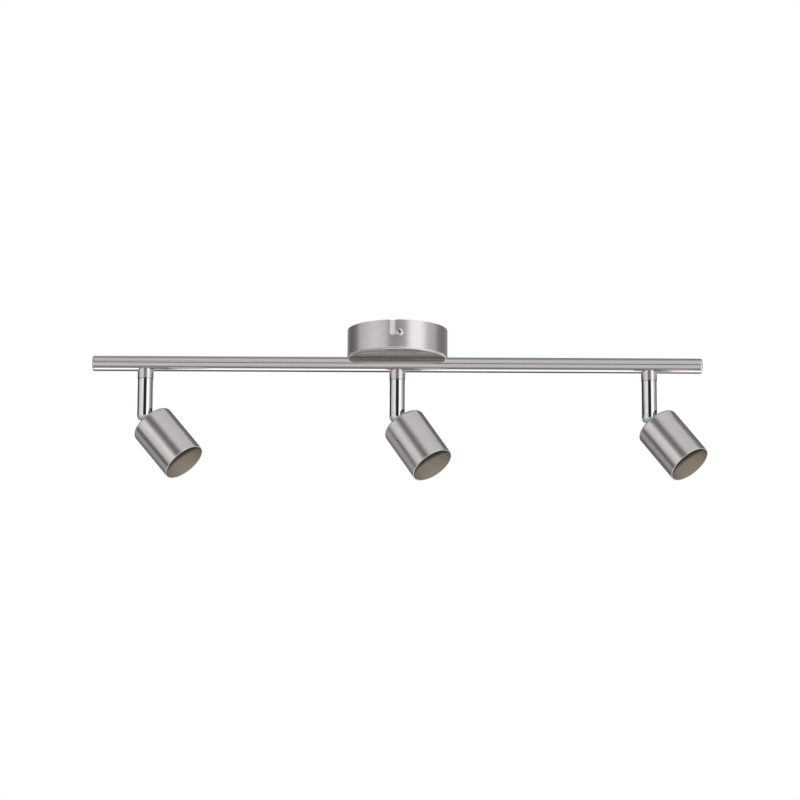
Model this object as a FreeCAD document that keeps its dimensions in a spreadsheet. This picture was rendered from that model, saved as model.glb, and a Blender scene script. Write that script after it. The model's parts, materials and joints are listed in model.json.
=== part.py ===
import FreeCAD, Part
import math
import os
import re
import Sketcher
from FreeCAD import Vector

# Ceiling spotlight bar: a round canopy carries a horizontal rail, and three cup-shaped heads hang
# from the rail on short stems.  Each stem turns about its own vertical axis, and each head tilts
# on a pin in the stem's fork.
#
# Frame: millimetres, origin at the centre of the ceiling plane, +Z up, +X along the rail and -Y
# towards the room side where the screws of the canopy are driven.  Two local frames repeat: a stem
# frame (origin on the tilt pin, +X where the head leans) and a head frame (+X out of the cup).

SIZES = {
    # rail and its end caps
    "rail_length": 762.0,        # over both end caps
    "rail_dia": 19.0,
    "rail_wall": 1.0,
    "cap_height": 3.4,
    "cap_lip": 0.7,              # straight rim before the rounded edge
    "cap_edge": 1.9,             # radius of the rounded edge
    "cap_plug": 9.0,             # length pressed into the rail
    "cap_skin": 1.2,
    # canopy against the ceiling
    "canopy_dia": 125.0,
    "canopy_depth": 37.0,
    "canopy_wall": 0.9,
    "canopy_corner": 3.0,
    "rail_sink": 3.0,            # depth of the rail in the canopy's pressed trough
    "slot_leg": 7.2,             # width of the L-shaped slots' legs
    "slot_foot": 6.4,            # height of their feet
    "slot_shift": 8.8,           # from leg to screw, round the wall
    "screw_drop": 16.0,          # canopy screw below the ceiling
    "screw_offset": 2.7,         # canopy screw beside the middle plane
    "screw_dia": 5.0,
    "screw_head_dia": 9.5,
    "screw_head_height": 3.0,
    # bracket on the ceiling
    "bracket_width": 24.0,
    "bracket_gauge": 1.5,
    "bracket_ear": 23.0,
    "bracket_bend": 2.5,
    "bracket_gap": 0.3,          # between an ear's corners and the canopy wall
    "fixing_spacing": 70.0,
    "fixing_width": 5.0,
    "fixing_length": 14.0,
    "cable_hole_dia": 20.0,
    "cable_hole_y": 14.5,
    # wiring block on the canopy's floor
    "block_length": 28.0,
    "block_depth": 17.0,
    "block_height": 14.0,
    "block_offset": 34.0,
    "block_pitch": 9.0,
    "block_bore_dia": 4.0,
    "clamp_wall": 0.6,
    "clamp_length": 13.6,
    "clamp_screw_dia": 3.0,
    "clamp_screw_length": 5.0,
    "clamp_well_dia": 3.2,
    "clamp_screw_spacing": 7.5,
    "earth_x": 24.0,
    "earth_y": 26.0,
    # rail fixing and wiring
    "hanger_x": 40.0,            # rail fixings, either side of the middle
    "nipple_dia": 10.0,
    "nipple_bore_dia": 6.4,
    "nut_across": 13.0,
    "nut_height": 4.0,
    "lead_dia": 2.8,
    "lead_bend": 5.0,
    "lead_reach": 9.0,           # straight run out of the wiring block
    "lead_rise": 9.0,            # crest of the outer leads above the block's ways
    "lead_lift": 2.0,            # how far the leads bow upwards on the way
    "lead_high_rise": 14.0,      # crest of the middle lead, which passes over one of them
    # stems
    "head_spacing": 314.0,
    "collar_dia": 19.8,
    "collar_drop": 10.3,         # below the rail
    "collar_rise": 2.2,          # height of the saddle's front and back
    "stem_dia": 19.0,
    "stem_wall": 1.5,
    "swivel_gap": 0.3,
    "pivot_drop": 55.5,          # tilt pin below the rail
    "bush_height": 6.0,
    "groove_depth": 2.2,
    "stop_angle": 13.2,          # width of the stop left in the bush's groove
    "washer_gauge": 0.7,
    "flange_height": 2.0,
    "fork_slot": 6.2,
    "fork_room": 6.9,            # from tilt pin to the slot's top
    "fork_roof": 5.5,            # solid metal over the slot
    "fork_mouth": 11.0,          # width of the arched mouth that opens the slot towards the head
    "fork_cheek": 4.8,           # from tilt pin to where the mouth starts
    "stem_end": 7.7,             # from tilt pin to the stem's end
    "stem_corner": 5.8,          # radius round that end
    # tilt joint
    "pin_dia": 5.0,
    "tongue_gauge": 5.0,
    "tongue_width": 11.0,
    "lug_disc_dia": 16.0,
    "lug_disc_height": 2.2,
    "neck_length": 15.3,         # from tilt pin to the cup's closed end
    "shank_length": 5.8,
    "lug_bore_dia": 4.0,
    # cups and lampholders
    "cup_dia": 55.0,
    "cup_length": 70.0,
    "cup_wall": 1.0,
    "cup_back_wall": 1.6,        # thicker behind the lamp space
    "cup_corner": 3.0,
    "cup_lip": 0.35,
    "lamp_depth": 46.0,
    "plate_inset": 2.0,
    "plate_gauge": 1.0,
    "plate_skirt": 7.0,
    "holder_dia": 27.0,
    "holder_boss_dia": 16.8,
    "holder_height": 8.8,
    "holder_pins": 10.0,         # between the lamp's two pins
    "keyhole_dia": 5.2,
    "keyhole_depth": 8.4,
    "contact_dia": 4.0,
    "contact_length": 2.8,
    "holder_screw_spacing": 22.4,
    "holder_screw_dia": 2.5,
    "holder_screw_head": 4.8,
    "holder_screw_height": 1.6,
    "wire_dia": 1.8,
    # rest pose: turn is from +X towards +Y, tilt is from straight down
    "turn_left": -23.0,
    "tilt_left": 41.1,
    "turn_middle": -32.6,
    "tilt_middle": 37.4,
    "turn_right": -31.9,
    "tilt_right": 40.0,
    # clearances on radius or between faces
    "seat_gap": 0.03,
    "press_gap": 0.01,
    "running_gap": 0.05,
    "loose_gap": 0.2,
}

SIDES = ("left", "middle", "right")
ALONG = {"left": "-head_spacing", "middle": "0", "right": "head_spacing"}
ROTATIONS = {"X": "0; 90; 0", "Y": "0; 0; -90", "Z": "0; 0; 0"}

doc = FreeCAD.newDocument("spotlight_bar")
sheet = doc.addObject("Spreadsheet::Sheet", "Sizes")
for row, (alias, value) in enumerate(SIZES.items(), start=1):
    sheet.set(f"A{row}", alias)
    sheet.set(f"B{row}", str(value))
    sheet.setAlias(f"B{row}", alias)
doc.recompute()
nodes = []


def bound(text):
    """An expression of another object, with each size named in the sheet."""
    return re.sub(r"[a-z_]+", lambda word: f"Sizes.{word[0]}" if word[0] in SIZES else word[0], text)


def value(text):
    """The number that an expression of sizes gives now."""
    return float(sheet.evalExpression(bound(text)))


# ---------------------------------------------------------------- places worked out from the sizes

RAIL_R = "(rail_dia / 2)"
RAIL_BORE = "(rail_dia / 2 - rail_wall)"
RAIL_Z = "(-canopy_depth + rail_sink - rail_dia / 2)"
RAIL_FOOT = f"({RAIL_Z} - {RAIL_R})"
RAIL_TOP = f"({RAIL_Z} + {RAIL_R})"
TUBE_LENGTH = "(rail_length - 2 * cap_height)"
CANOPY_R = "(canopy_dia / 2)"
CANOPY_BORE = "(canopy_dia / 2 - canopy_wall)"
FLOOR_Z = "(-canopy_depth + canopy_wall)"
TROUGH_R = f"({RAIL_R} + seat_gap)"
TROUGH_BACK = f"({RAIL_R} + seat_gap + canopy_wall)"
EAR_FACE = f"(sqrt({CANOPY_BORE}^2 - (bracket_width / 2)^2) - bracket_gap)"
NIPPLE_R = "(nipple_dia / 2)"
NUT_SEAT = f"({RAIL_Z} - sqrt({RAIL_BORE}^2 - (nut_across / 2)^2) + seat_gap)"
NIPPLE_TOP = f"({NUT_SEAT} + nut_height)"
COLLAR_R = "(collar_dia / 2)"
COLLAR_FOOT = f"({RAIL_FOOT} - collar_drop)"
SADDLE_R = f"(({COLLAR_R}^2 + collar_rise^2) / (2 * collar_rise))"
STEM_R = "(stem_dia / 2)"
STEM_BORE = "(stem_dia / 2 - stem_wall)"
STEM_TOP = "(pivot_drop - collar_drop - swivel_gap)"
PIVOT_Z = f"({RAIL_FOOT} - pivot_drop)"
BUSH_R = f"({STEM_BORE} - press_gap)"
BUSH_BORE = f"({NIPPLE_R} + running_gap)"
BUSH_WALL = f"({BUSH_R} - {BUSH_BORE})"
GROOVE_R = f"({BUSH_BORE} + {BUSH_WALL} / 2)"
GROOVE_HALF = f"({BUSH_WALL} * 0.36)"
STOP_PIN_R = f"({BUSH_WALL} * 0.3)"
FLANGE_R = f"({STEM_BORE} - 3 * loose_gap)"
FLANGE_Z = f"({PIVOT_Z} + {STEM_TOP} - bush_height - washer_gauge - 2 * loose_gap)"
PIN_R = "(pin_dia / 2)"
CUP_R = "(cup_dia / 2)"
CUP_MOUTH = "(neck_length + cup_length)"
LAMP_BORE = "(cup_dia / 2 - cup_wall)"
BACK_BORE = "(cup_dia / 2 - cup_back_wall)"
STEP_X = f"({CUP_MOUTH} - lamp_depth)"
PLATE_X = f"({STEP_X} - plate_inset)"
HOLDER_FRONT = f"({STEP_X} - loose_gap)"
HOLDER_SHOULDER = f"({PLATE_X} - plate_gauge - seat_gap)"
HOLDER_BACK = f"({HOLDER_SHOULDER} - holder_height)"
CONTACT_X = f"({HOLDER_FRONT} - keyhole_depth - contact_length)"


def frame_at(x, y, z, turn="0", pitch="0"):
    """A placement expression: turn is about Z, then pitch about the turned Y."""
    return f"placement(vector({x}; {y}; {z}); rotation({turn}; {pitch}; 0))"


RAIL_FRAME = frame_at("0", "0", RAIL_Z)
DROP_FRAME = {side: frame_at(ALONG[side], "0", "0") for side in SIDES}
STEM_FRAME = {side: frame_at(ALONG[side], "0", PIVOT_Z, f"turn_{side}") for side in SIDES}
HEAD_FRAME = {
    side: frame_at(ALONG[side], "0", PIVOT_Z, f"turn_{side}", f"90 - tilt_{side}") for side in SIDES
}


# ---------------------------------------------------------------- sketches and features

def keep(piece, label, frame=None):
    """Name a finished sub-part, put it in its frame and list it for writing."""
    piece.Label = label
    if frame:
        piece.setExpression("Placement", bound(frame))
    nodes.append(piece)
    return piece


def new_body(name):
    return doc.addObject("PartDesign::Body", name)


def add_sketch(body, plane, lift="0"):
    """A sketch on one of the body's own origin planes, lifted along that plane's normal."""
    sketch = body.newObject("Sketcher::SketchObject", f"{body.Name}_sketch")
    support = next(item for item in body.Origin.OriginFeatures if item.Role == f"{plane}_Plane")
    sketch.AttachmentSupport = [(support, "")]
    sketch.MapMode = "FlatFace"
    if lift != "0":
        sketch.setExpression("AttachmentOffset", bound(f"placement(vector(0; 0; {lift}); rotation(0; 0; 0))"))
    return sketch


def pin_point(sketch, geometry, end, x, y):
    """Fix a point of the sketch by distances from the origin that follow the sheet."""
    for kind, text in (("DistanceX", x), ("DistanceY", y)):
        if text is None:
            continue
        index = sketch.addConstraint(Sketcher.Constraint(kind, -1, 1, geometry, end, value(text)))
        sketch.setExpression(f"Constraints[{index}]", bound(text))


def draw_outline(sketch, corners):
    """A closed outline.  A corner is (x, y), or (x, y, cx, cy) when an arc about (cx, cy) ends there."""
    places = [Vector(value(corner[0]), value(corner[1]), 0) for corner in corners]
    first = sketch.GeometryCount
    ends = []
    for index, corner in enumerate(corners):
        start, stop = places[index - 1], places[index]
        if len(corner) == 2:
            sketch.addGeometry(Part.LineSegment(start, stop))
            ends.append((1, 2))
            continue
        centre = Vector(value(corner[2]), value(corner[3]), 0)
        leftwards = (start - centre).cross(stop - centre).z > 0
        low, high = (start, stop) if leftwards else (stop, start)
        angles = [math.atan2(point.y - centre.y, point.x - centre.x) for point in (low, high)]
        circle = Part.Circle(centre, Vector(0, 0, 1), (start - centre).Length)
        sketch.addGeometry(Part.ArcOfCircle(circle, *angles))
        ends.append((1, 2) if leftwards else (2, 1))
        pin_point(sketch, first + index, 3, corner[2], corner[3])
    for index, corner in enumerate(corners):
        here, following = first + index, first + (index + 1) % len(corners)
        link = (here, ends[index][1], following, ends[(index + 1) % len(corners)][0])
        sketch.addConstraint(Sketcher.Constraint("Coincident", *link))
        x, y = corner[0], corner[1]
        if len(corner) == 4:
            sideways = abs(value(corner[0]) - value(corner[2])) > abs(value(corner[1]) - value(corner[3]))
            x, y = (None, y) if sideways else (x, None)
        pin_point(sketch, here, ends[index][1], x, y)


def draw_circle(sketch, x, y, radius):
    centre = Vector(value(x), value(y), 0)
    geometry = sketch.addGeometry(Part.Circle(centre, Vector(0, 0, 1), value(radius)))
    pin_point(sketch, geometry, 3, x, y)
    index = sketch.addConstraint(Sketcher.Constraint("Radius", geometry, value(radius)))
    sketch.setExpression(f"Constraints[{index}]", bound(radius))


def draw(sketch, shapes):
    """Each shape is a list of corners, or a tuple (x, y, radius) for a circle."""
    for shape in shapes:
        if isinstance(shape, tuple):
            draw_circle(sketch, *shape)
        else:
            draw_outline(sketch, shape)


def turned(body, corners, axis="V_Axis", kind="PartDesign::Revolution", angle="360"):
    """Turn an outline in the XZ plane about Z (V_Axis) or X (H_Axis)."""
    sketch = add_sketch(body, "XZ")
    draw_outline(sketch, corners)
    feature = body.newObject(kind, f"{body.Name}_turned")
    feature.Profile = sketch
    feature.ReferenceAxis = (sketch, [axis])
    feature.Midplane = True
    feature.setExpression("Angle", bound(angle))
    return feature


def extruded(body, plane, shapes, length, kind="PartDesign::Pad", side="both", lift="0"):
    """Pad or pocket: side is both (about the plane), ahead (along its normal) or behind."""
    sketch = add_sketch(body, plane, lift)
    draw(sketch, shapes)
    feature = body.newObject(kind, f"{body.Name}_extruded")
    feature.Profile = sketch
    feature.setExpression("Length", bound(length))
    if side == "both":
        feature.SideType = "Symmetric"
    else:
        feature.Reversed = (side == "behind") == (kind == "PartDesign::Pad")
    return feature


def pocket(body, plane, shapes, length, side="both", lift="0"):
    return extruded(body, plane, shapes, length, "PartDesign::Pocket", side, lift)


def round_slot(x, y, width, length):
    """Corners of a slot along the sketch's second axis, with round ends."""
    reach = f"(({length} - {width}) / 2)"
    half = f"({width} / 2)"
    low, high = f"({y} - {reach})", f"({y} + {reach})"
    return [
        (f"{x} - {half}", low),
        (x, f"{low} - {half}", x, low),
        (f"{x} + {half}", low, x, low),
        (f"{x} + {half}", high),
        (x, f"{high} + {half}", x, high),
        (f"{x} - {half}", high, x, high),
    ]


# ---------------------------------------------------------------- primitives and booleans

def rod(radius, length, start, axis="Z"):
    """A cylinder that starts at a point and runs along an axis."""
    piece = doc.addObject("Part::Cylinder", "rod")
    piece.setExpression("Radius", bound(radius))
    piece.setExpression("Height", bound(length))
    x, y, z = start
    place = f"placement(vector({x}; {y}; {z}); rotation({ROTATIONS[axis]}))"
    piece.setExpression("Placement", bound(place))
    return piece


def block(length, width, height, corner):
    """A box with its lowest corner at a point."""
    piece = doc.addObject("Part::Box", "block")
    for name, text in (("Length", length), ("Width", width), ("Height", height)):
        piece.setExpression(name, bound(text))
    piece.setExpression("Placement", bound(frame_at(*corner)))
    return piece


def hexagon(across, height, start, axis="Z"):
    """A hexagonal prism, given the distance between its flats."""
    piece = doc.addObject("Part::Prism", "hexagon")
    piece.Polygon = 6
    piece.setExpression("Circumradius", bound(f"{across} / 2 / cos(30)"))
    piece.setExpression("Height", bound(height))
    x, y, z = start
    place = f"placement(vector({x}; {y}; {z}); rotation({ROTATIONS[axis]}))"
    piece.setExpression("Placement", bound(place))
    return piece


def together(pieces):
    """One solid from pieces that meet."""
    fused = doc.addObject("Part::MultiFuse", "together")
    fused.Shapes = pieces
    return fused


def without(base, *tools):
    """The base with every tool cut away."""
    result = doc.addObject("Part::Cut", "without")
    result.Base = base
    result.Tool = tools[0] if len(tools) == 1 else together(list(tools))
    return result


def group(pieces):
    """Like pieces kept apart as separate solids of one sub-part."""
    result = doc.addObject("Part::Compound", "group")
    result.Links = pieces
    return result


def ring(outer, inner, height, start, axis="Z"):
    x, y, z = start
    return without(rod(outer, height, start, axis), rod(inner, height, start, axis))


def lead(points, radius):
    """A round lead along straight runs joined by arcs, worked out from the sheet's values."""
    route = [Vector(*(value(text) for text in point)) for point in points]
    bend = value("lead_bend")
    edges = []
    here = route[0]
    for before, corner, after in zip(route, route[1:], route[2:]):
        arriving = (corner - before).normalize()
        leaving = (after - corner).normalize()
        half_turn = arriving.getAngle(leaving) / 2
        shorter = min((corner - before).Length, (after - corner).Length)
        cut_back = min(bend * math.tan(half_turn), 0.45 * shorter)
        radius_here = cut_back / math.tan(half_turn)
        enter = corner - arriving * cut_back
        leave = corner + leaving * cut_back
        centre = corner + (leaving - arriving).normalize() * radius_here / math.cos(half_turn)
        middle = centre + (corner - centre).normalize() * radius_here
        edges.append(Part.LineSegment(here, enter).toShape())
        edges.append(Part.Arc(enter, middle, leave).toShape())
        here = leave
    edges.append(Part.LineSegment(here, route[-1]).toShape())
    path = Part.Wire(edges)
    section = Part.Wire([Part.Circle(route[0], route[1] - route[0], value(radius)).toShape()])
    tube = path.makePipeShell([section], True, False)
    expected = math.pi * value(radius) ** 2 * path.Length
    if abs(tube.Volume - expected) > 0.01 * expected:
        raise RuntimeError("a lead's tube does not have the volume of its route")
    return tube


def lead_group(shapes, label, frame=None):
    piece = doc.addObject("Part::Feature", label)
    piece.Shape = Part.makeCompound(shapes)
    return keep(piece, label, frame)


def pan_screw(head_dia, head_height, shank_dia, length):
    """A pan-head screw along +Z with a cross recess; the head's seat is at z = 0, the shank below."""
    body = new_body("pan_screw")
    head, shank = f"({head_dia} / 2)", f"({shank_dia} / 2)"
    brow = f"({head_height} * 0.45)"
    crown = f"({head} - {head_height} + {brow})"
    turned(body, [
        ("0", f"-{length}"),
        (f"{shank} * 0.6", f"-{length}"),
        (shank, f"-{length} + {shank} * 0.4"),
        (shank, "0"),
        (head, "0"),
        (head, brow),
        (crown, head_height, crown, brow),
        ("0", head_height),
    ])
    arm, half = f"({head} * 0.55)", f"({head} * 0.13)"
    cross = [
        (arm, half), (half, half), (half, arm), (f"-{half}", arm), (f"-{half}", half), (f"-{arm}", half),
        (f"-{arm}", f"-{half}"), (f"-{half}", f"-{half}"), (f"-{half}", f"-{arm}"), (half, f"-{arm}"),
        (half, f"-{half}"), (arm, f"-{half}"),
    ]
    pocket(body, "XY", [cross], f"{head_height} * 0.6", "behind", head_height)
    return body



# ---------------------------------------------------------------- canopy and ceiling fixings

def make_canopy():
    """A pressed cup, open at the ceiling, with a trough across its floor for the rail."""
    body = new_body("canopy_pressing")
    corner, inner_corner = "canopy_corner", "(canopy_corner - canopy_wall)"
    turned(body, [
        ("0", "-canopy_depth"),
        (f"{CANOPY_R} - {corner}", "-canopy_depth"),
        (CANOPY_R, f"-canopy_depth + {corner}", f"{CANOPY_R} - {corner}", f"-canopy_depth + {corner}"),
        (CANOPY_R, "0"),
        (CANOPY_BORE, "0"),
        (CANOPY_BORE, f"-canopy_depth + {corner}"),
        (f"{CANOPY_R} - {corner}", FLOOR_Z, f"{CANOPY_R} - {corner}", f"-canopy_depth + {corner}"),
        ("0", FLOOR_Z),
    ])
    chord_z = "(-canopy_depth + canopy_wall / 2)"
    half_chord = f"sqrt({TROUGH_BACK}^2 - ({chord_z} - {RAIL_Z})^2)"
    trough = [
        (half_chord, chord_z),
        ("0", f"{RAIL_Z} + {TROUGH_BACK}", "0", RAIL_Z),
        (f"-{half_chord}", chord_z, "0", RAIL_Z),
    ]
    extruded(body, "YZ", [trough], "canopy_dia - 1.5 * canopy_wall")
    pocket(body, "YZ", [("0", RAIL_Z, TROUGH_R)], "2 * canopy_dia")
    hole = f"{NIPPLE_R} + loose_gap"
    pocket(body, "XY", [("hanger_x", "0", hole), ("-hanger_x", "0", hole)], "3 * canopy_depth")
    pocket(body, "XY", [("earth_x", "-earth_y", "block_bore_dia / 2 + press_gap")], "3 * canopy_depth")
    leg_low, leg_high = "(screw_offset - slot_shift - slot_leg / 2)", "(screw_offset - slot_shift + slot_leg / 2)"
    foot_low, foot_high = "(-screw_drop - slot_foot / 2)", "(-screw_drop + slot_foot / 2)"
    slot = [
        (leg_low, "canopy_wall"),
        (leg_low, foot_low),
        ("screw_offset", foot_low),
        ("screw_offset + slot_foot / 2", "-screw_drop", "screw_offset", "-screw_drop"),
        ("screw_offset", foot_high, "screw_offset", "-screw_drop"),
        (leg_high, foot_high),
        (leg_high, "canopy_wall"),
    ]
    front_slot = pocket(body, "XZ", [slot], "canopy_dia", "ahead")
    pattern = body.newObject("PartDesign::PolarPattern", "canopy_slots")
    pattern.Originals = [front_slot]
    pattern.Axis = (front_slot.Profile[0], ["V_Axis"])
    pattern.Angle = 360
    pattern.Occurrences = 2
    body.Tip = pattern
    keep(body, "canopy")


def make_bracket():
    """A strap across the canopy with an ear at each end, which the canopy's screws enter."""
    body = new_body("bracket_strap")
    outer, inner = "bracket_bend", "(bracket_bend - bracket_gauge)"
    bend_y, bend_z = f"({EAR_FACE} - {outer})", f"(-{outer})"
    half = [
        (EAR_FACE, bend_z, bend_y, bend_z),
        (EAR_FACE, "-bracket_ear"),
        (f"{EAR_FACE} - bracket_gauge", "-bracket_ear"),
        (f"{EAR_FACE} - bracket_gauge", bend_z),
        (bend_y, f"{bend_z} + {inner}", bend_y, bend_z),
    ]
    other = [
        (f"-{bend_y}", f"{bend_z} + {inner}"),
        (f"-({EAR_FACE} - bracket_gauge)", bend_z, f"-{bend_y}", bend_z),
        (f"-({EAR_FACE} - bracket_gauge)", "-bracket_ear"),
        (f"-{EAR_FACE}", "-bracket_ear"),
        (f"-{EAR_FACE}", bend_z),
        (f"-{bend_y}", "0", f"-{bend_y}", bend_z),
    ]
    extruded(body, "YZ", [[(bend_y, "0"), *half, *other]], "bracket_width")
    fixings = [
        round_slot("0", f"{sign}fixing_spacing / 2", "fixing_width", "fixing_length") for sign in ("", "-")
    ]
    pocket(body, "XY", [*fixings, ("0", "cable_hole_y", "cable_hole_dia / 2")], "4 * bracket_gauge")
    tapped = "screw_dia / 2 + seat_gap"
    pocket(body, "XZ", [("screw_offset", "-screw_drop", tapped)], "canopy_dia", "ahead")
    pocket(body, "XZ", [("-screw_offset", "-screw_drop", tapped)], "canopy_dia", "behind")
    keep(body, "mounting_bracket")


def make_canopy_screws():
    """Two pan-head screws through the canopy's slots into the bracket's ears."""
    screws = []
    for sign, roll in (("-", "90"), ("", "-90")):
        screw = pan_screw("screw_head_dia", "screw_head_height", "screw_dia",
                          f"({CANOPY_R} - {EAR_FACE} + 3 * bracket_gauge)")
        x = "screw_offset" if sign else "-screw_offset"
        place = f"placement(vector({x}; {sign}({CANOPY_R} + seat_gap); -screw_drop); rotation(0; 0; {roll}))"
        screw.setExpression("Placement", bound(place))
        screws.append(screw)
    keep(group(screws), "canopy_screws")


def make_wiring_block():
    """A three-way block on the canopy's floor, with a brass clamp and its two screws in each way."""
    low = f"({FLOOR_Z} + seat_gap)"
    base = block("block_length", "block_depth", "block_height",
                 ("-block_length / 2", "block_offset - block_depth / 2", low))
    middle = f"({low} + block_height / 2)"
    start = "(block_offset - block_depth)"
    tools, clamps = [], []
    for way in ("-block_pitch", "0", "block_pitch"):
        tools.append(rod("block_bore_dia / 2", "2 * block_depth", (way, start, middle), "Y"))
        tube_start = (way, "block_offset - clamp_length / 2", middle)
        tube = rod("block_bore_dia / 2 - seat_gap", "clamp_length", tube_start, "Y")
        wire_way = rod("block_bore_dia / 2 - clamp_wall", "clamp_length", tube_start, "Y")
        barrel = without(tube, wire_way)
        screws = []
        for sign in ("", "-"):
            y = f"(block_offset {sign or '+'} clamp_screw_spacing / 2)"
            tools.append(rod("clamp_well_dia / 2", "block_height", (way, y, middle)))
            screws.append(rod("clamp_screw_dia / 2", "clamp_screw_length", (way, y, f"{middle} + block_bore_dia / 4")))
        clamps.append(together([barrel, *screws]))
    keep(without(base, *tools), "wiring_block")
    keep(group(clamps), "wiring_clamps")


def make_earth_screw():
    """A brass screw in the canopy's floor, its end just short of the outside."""
    screw = pan_screw("block_bore_dia * 2", "block_bore_dia * 0.6", "block_bore_dia", "(canopy_wall * 0.9)")
    screw.setExpression("Placement", bound(frame_at("earth_x", "-earth_y", f"{FLOOR_Z} + seat_gap")))
    keep(screw, "earth_screw")


# ---------------------------------------------------------------- rail

def make_rail():
    """A round tube with holes above for its two fixings and below for the three stems."""
    body = new_body("rail_section")
    extruded(body, "YZ", [("0", "0", RAIL_R), ("0", "0", RAIL_BORE)], TUBE_LENGTH)
    hole = f"{NIPPLE_R} + loose_gap"
    pocket(body, "XY", [("hanger_x", "0", hole), ("-hanger_x", "0", hole)], "rail_dia", "ahead")
    pocket(body, "XY", [(ALONG[side], "0", hole) for side in SIDES], "rail_dia", "behind")
    keep(body, "rail_tube", RAIL_FRAME)


def make_end_caps():
    """A domed cap for each end, with a sleeve pressed into the tube."""
    for side, sign, turn in (("left", "-", "180"), ("right", "", "0")):
        body = new_body(f"cap_{side}")
        plug_r = f"({RAIL_BORE} - press_gap)"
        edge_r, edge_x = f"({RAIL_R} - cap_edge)", "(cap_lip + cap_edge)"
        crown = f"(cap_height - {edge_x})"
        dome_r = f"(({edge_r}^2 + {crown}^2) / (2 * {crown}))"
        turned(body, [
            ("cap_skin", "0"),
            ("cap_skin", f"{plug_r} - cap_skin"),
            ("-cap_plug", f"{plug_r} - cap_skin"),
            ("-cap_plug", plug_r),
            ("0", plug_r),
            ("0", RAIL_R),
            ("cap_lip", RAIL_R),
            (edge_x, edge_r, "cap_lip", edge_r),
            ("cap_height", "0", f"cap_height - {dome_r}", "0"),
        ], "H_Axis")
        keep(body, f"end_cap_{side}", frame_at(f"{sign}{TUBE_LENGTH} / 2", "0", RAIL_Z, turn))


def make_rail_fixings():
    """Hollow threaded nipples, saddle washers and nuts that hold the rail up in its trough."""
    nipples, washers, nuts = [], [], []
    washer_foot = f"({RAIL_Z} + {TROUGH_BACK} - canopy_wall)"
    nut_foot = f"({RAIL_Z} + {TROUGH_BACK} + canopy_wall)"
    top = f"({nut_foot} + nut_height + 2)"
    foot = f"({RAIL_TOP} - rail_wall - 2)"
    for x in ("-hanger_x", "hanger_x"):
        nipples.append(ring(NIPPLE_R, "nipple_bore_dia / 2", f"{top} - {foot}", (x, "0", foot)))
        washer = ring("nut_across / 2 + 1.5", f"{NIPPLE_R} + loose_gap", f"{nut_foot} - {washer_foot}",
                      (x, "0", washer_foot))
        trough = rod(f"{TROUGH_BACK} + seat_gap", "4 * nipple_dia", (f"{x} - 2 * nipple_dia", "0", RAIL_Z), "X")
        washers.append(without(washer, trough))
        nut = hexagon("nut_across", "nut_height", (x, "0", f"{nut_foot} + seat_gap"))
        nuts.append(without(nut, rod(f"{NIPPLE_R} + press_gap", "3 * nut_height", (x, "0", washer_foot))))
    keep(group(nipples), "rail_nipples")
    keep(group(washers), "saddle_washers")
    keep(group(nuts), "rail_nuts")


def make_rail_leads():
    """One sheathed lead to each stem, from the wiring block down a nipple and along the rail."""
    block_face = "(block_offset - block_depth / 2 - seat_gap)"
    way_z = f"({FLOOR_Z} + seat_gap + block_height / 2)"
    run_z = f"({RAIL_Z} + lead_dia / 2)"
    foot = f"({COLLAR_FOOT} + collar_drop / 3)"
    beside = "(lead_dia / 2 + loose_gap / 2)"
    tubes = []
    for side, way, hanger, offset, crest in (
        ("left", "-block_pitch", "-hanger_x", beside, f"({way_z} + lead_rise)"),
        ("middle", "0", "-hanger_x", f"-{beside}", f"({way_z} + lead_high_rise)"),
        ("right", "block_pitch", "hanger_x", "0", f"({way_z} + lead_rise)"),
    ):
        points = [
            (way, block_face, way_z),
            (way, f"{block_face} - lead_reach", f"{way_z} + lead_lift"),
            (f"({way} + {hanger}) / 2", f"({block_face} - lead_reach) / 2", f"({way_z} + {crest}) / 2 + lead_lift"),
            (hanger, offset, crest),
            (hanger, offset, run_z),
            (ALONG[side], "0", run_z),
            (ALONG[side], "0", foot),
        ]
        tubes.append(lead(points, "lead_dia / 2"))
    lead_group(tubes, "rail_leads")


# ---------------------------------------------------------------- swivel joints

def make_collars():
    """A sleeve under the rail at each stem, saddled to the tube, with the stop pin's hole below."""
    for side in SIDES:
        body = new_body(f"collar_{side}_sleeve")
        bore = f"({NIPPLE_R} + loose_gap)"
        turned(body, [
            (bore, COLLAR_FOOT),
            (f"{COLLAR_R} - loose_gap", COLLAR_FOOT),
            (COLLAR_R, f"{COLLAR_FOOT} + loose_gap"),
            (COLLAR_R, RAIL_Z),
            (bore, RAIL_Z),
        ])
        pocket(body, "YZ", [("0", f"{RAIL_FOOT} + {SADDLE_R}", SADDLE_R)], "3 * collar_dia")
        turned(body, [
            (bore, f"{COLLAR_FOOT} + 1"),
            (f"{bore} + 1.2", f"{COLLAR_FOOT} + 1"),
            (f"{bore} + 1.2", RAIL_Z),
            (bore, RAIL_Z),
        ])
        pocket(body, "YZ", [("0", RAIL_Z, f"{RAIL_R} + seat_gap")], "3 * collar_dia")
        pocket(body, "XY", [("0", GROOVE_R, f"{STOP_PIN_R} + press_gap")], "groove_depth", "ahead", COLLAR_FOOT)
        keep(body, f"collar_{side}", DROP_FRAME[side])


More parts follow.
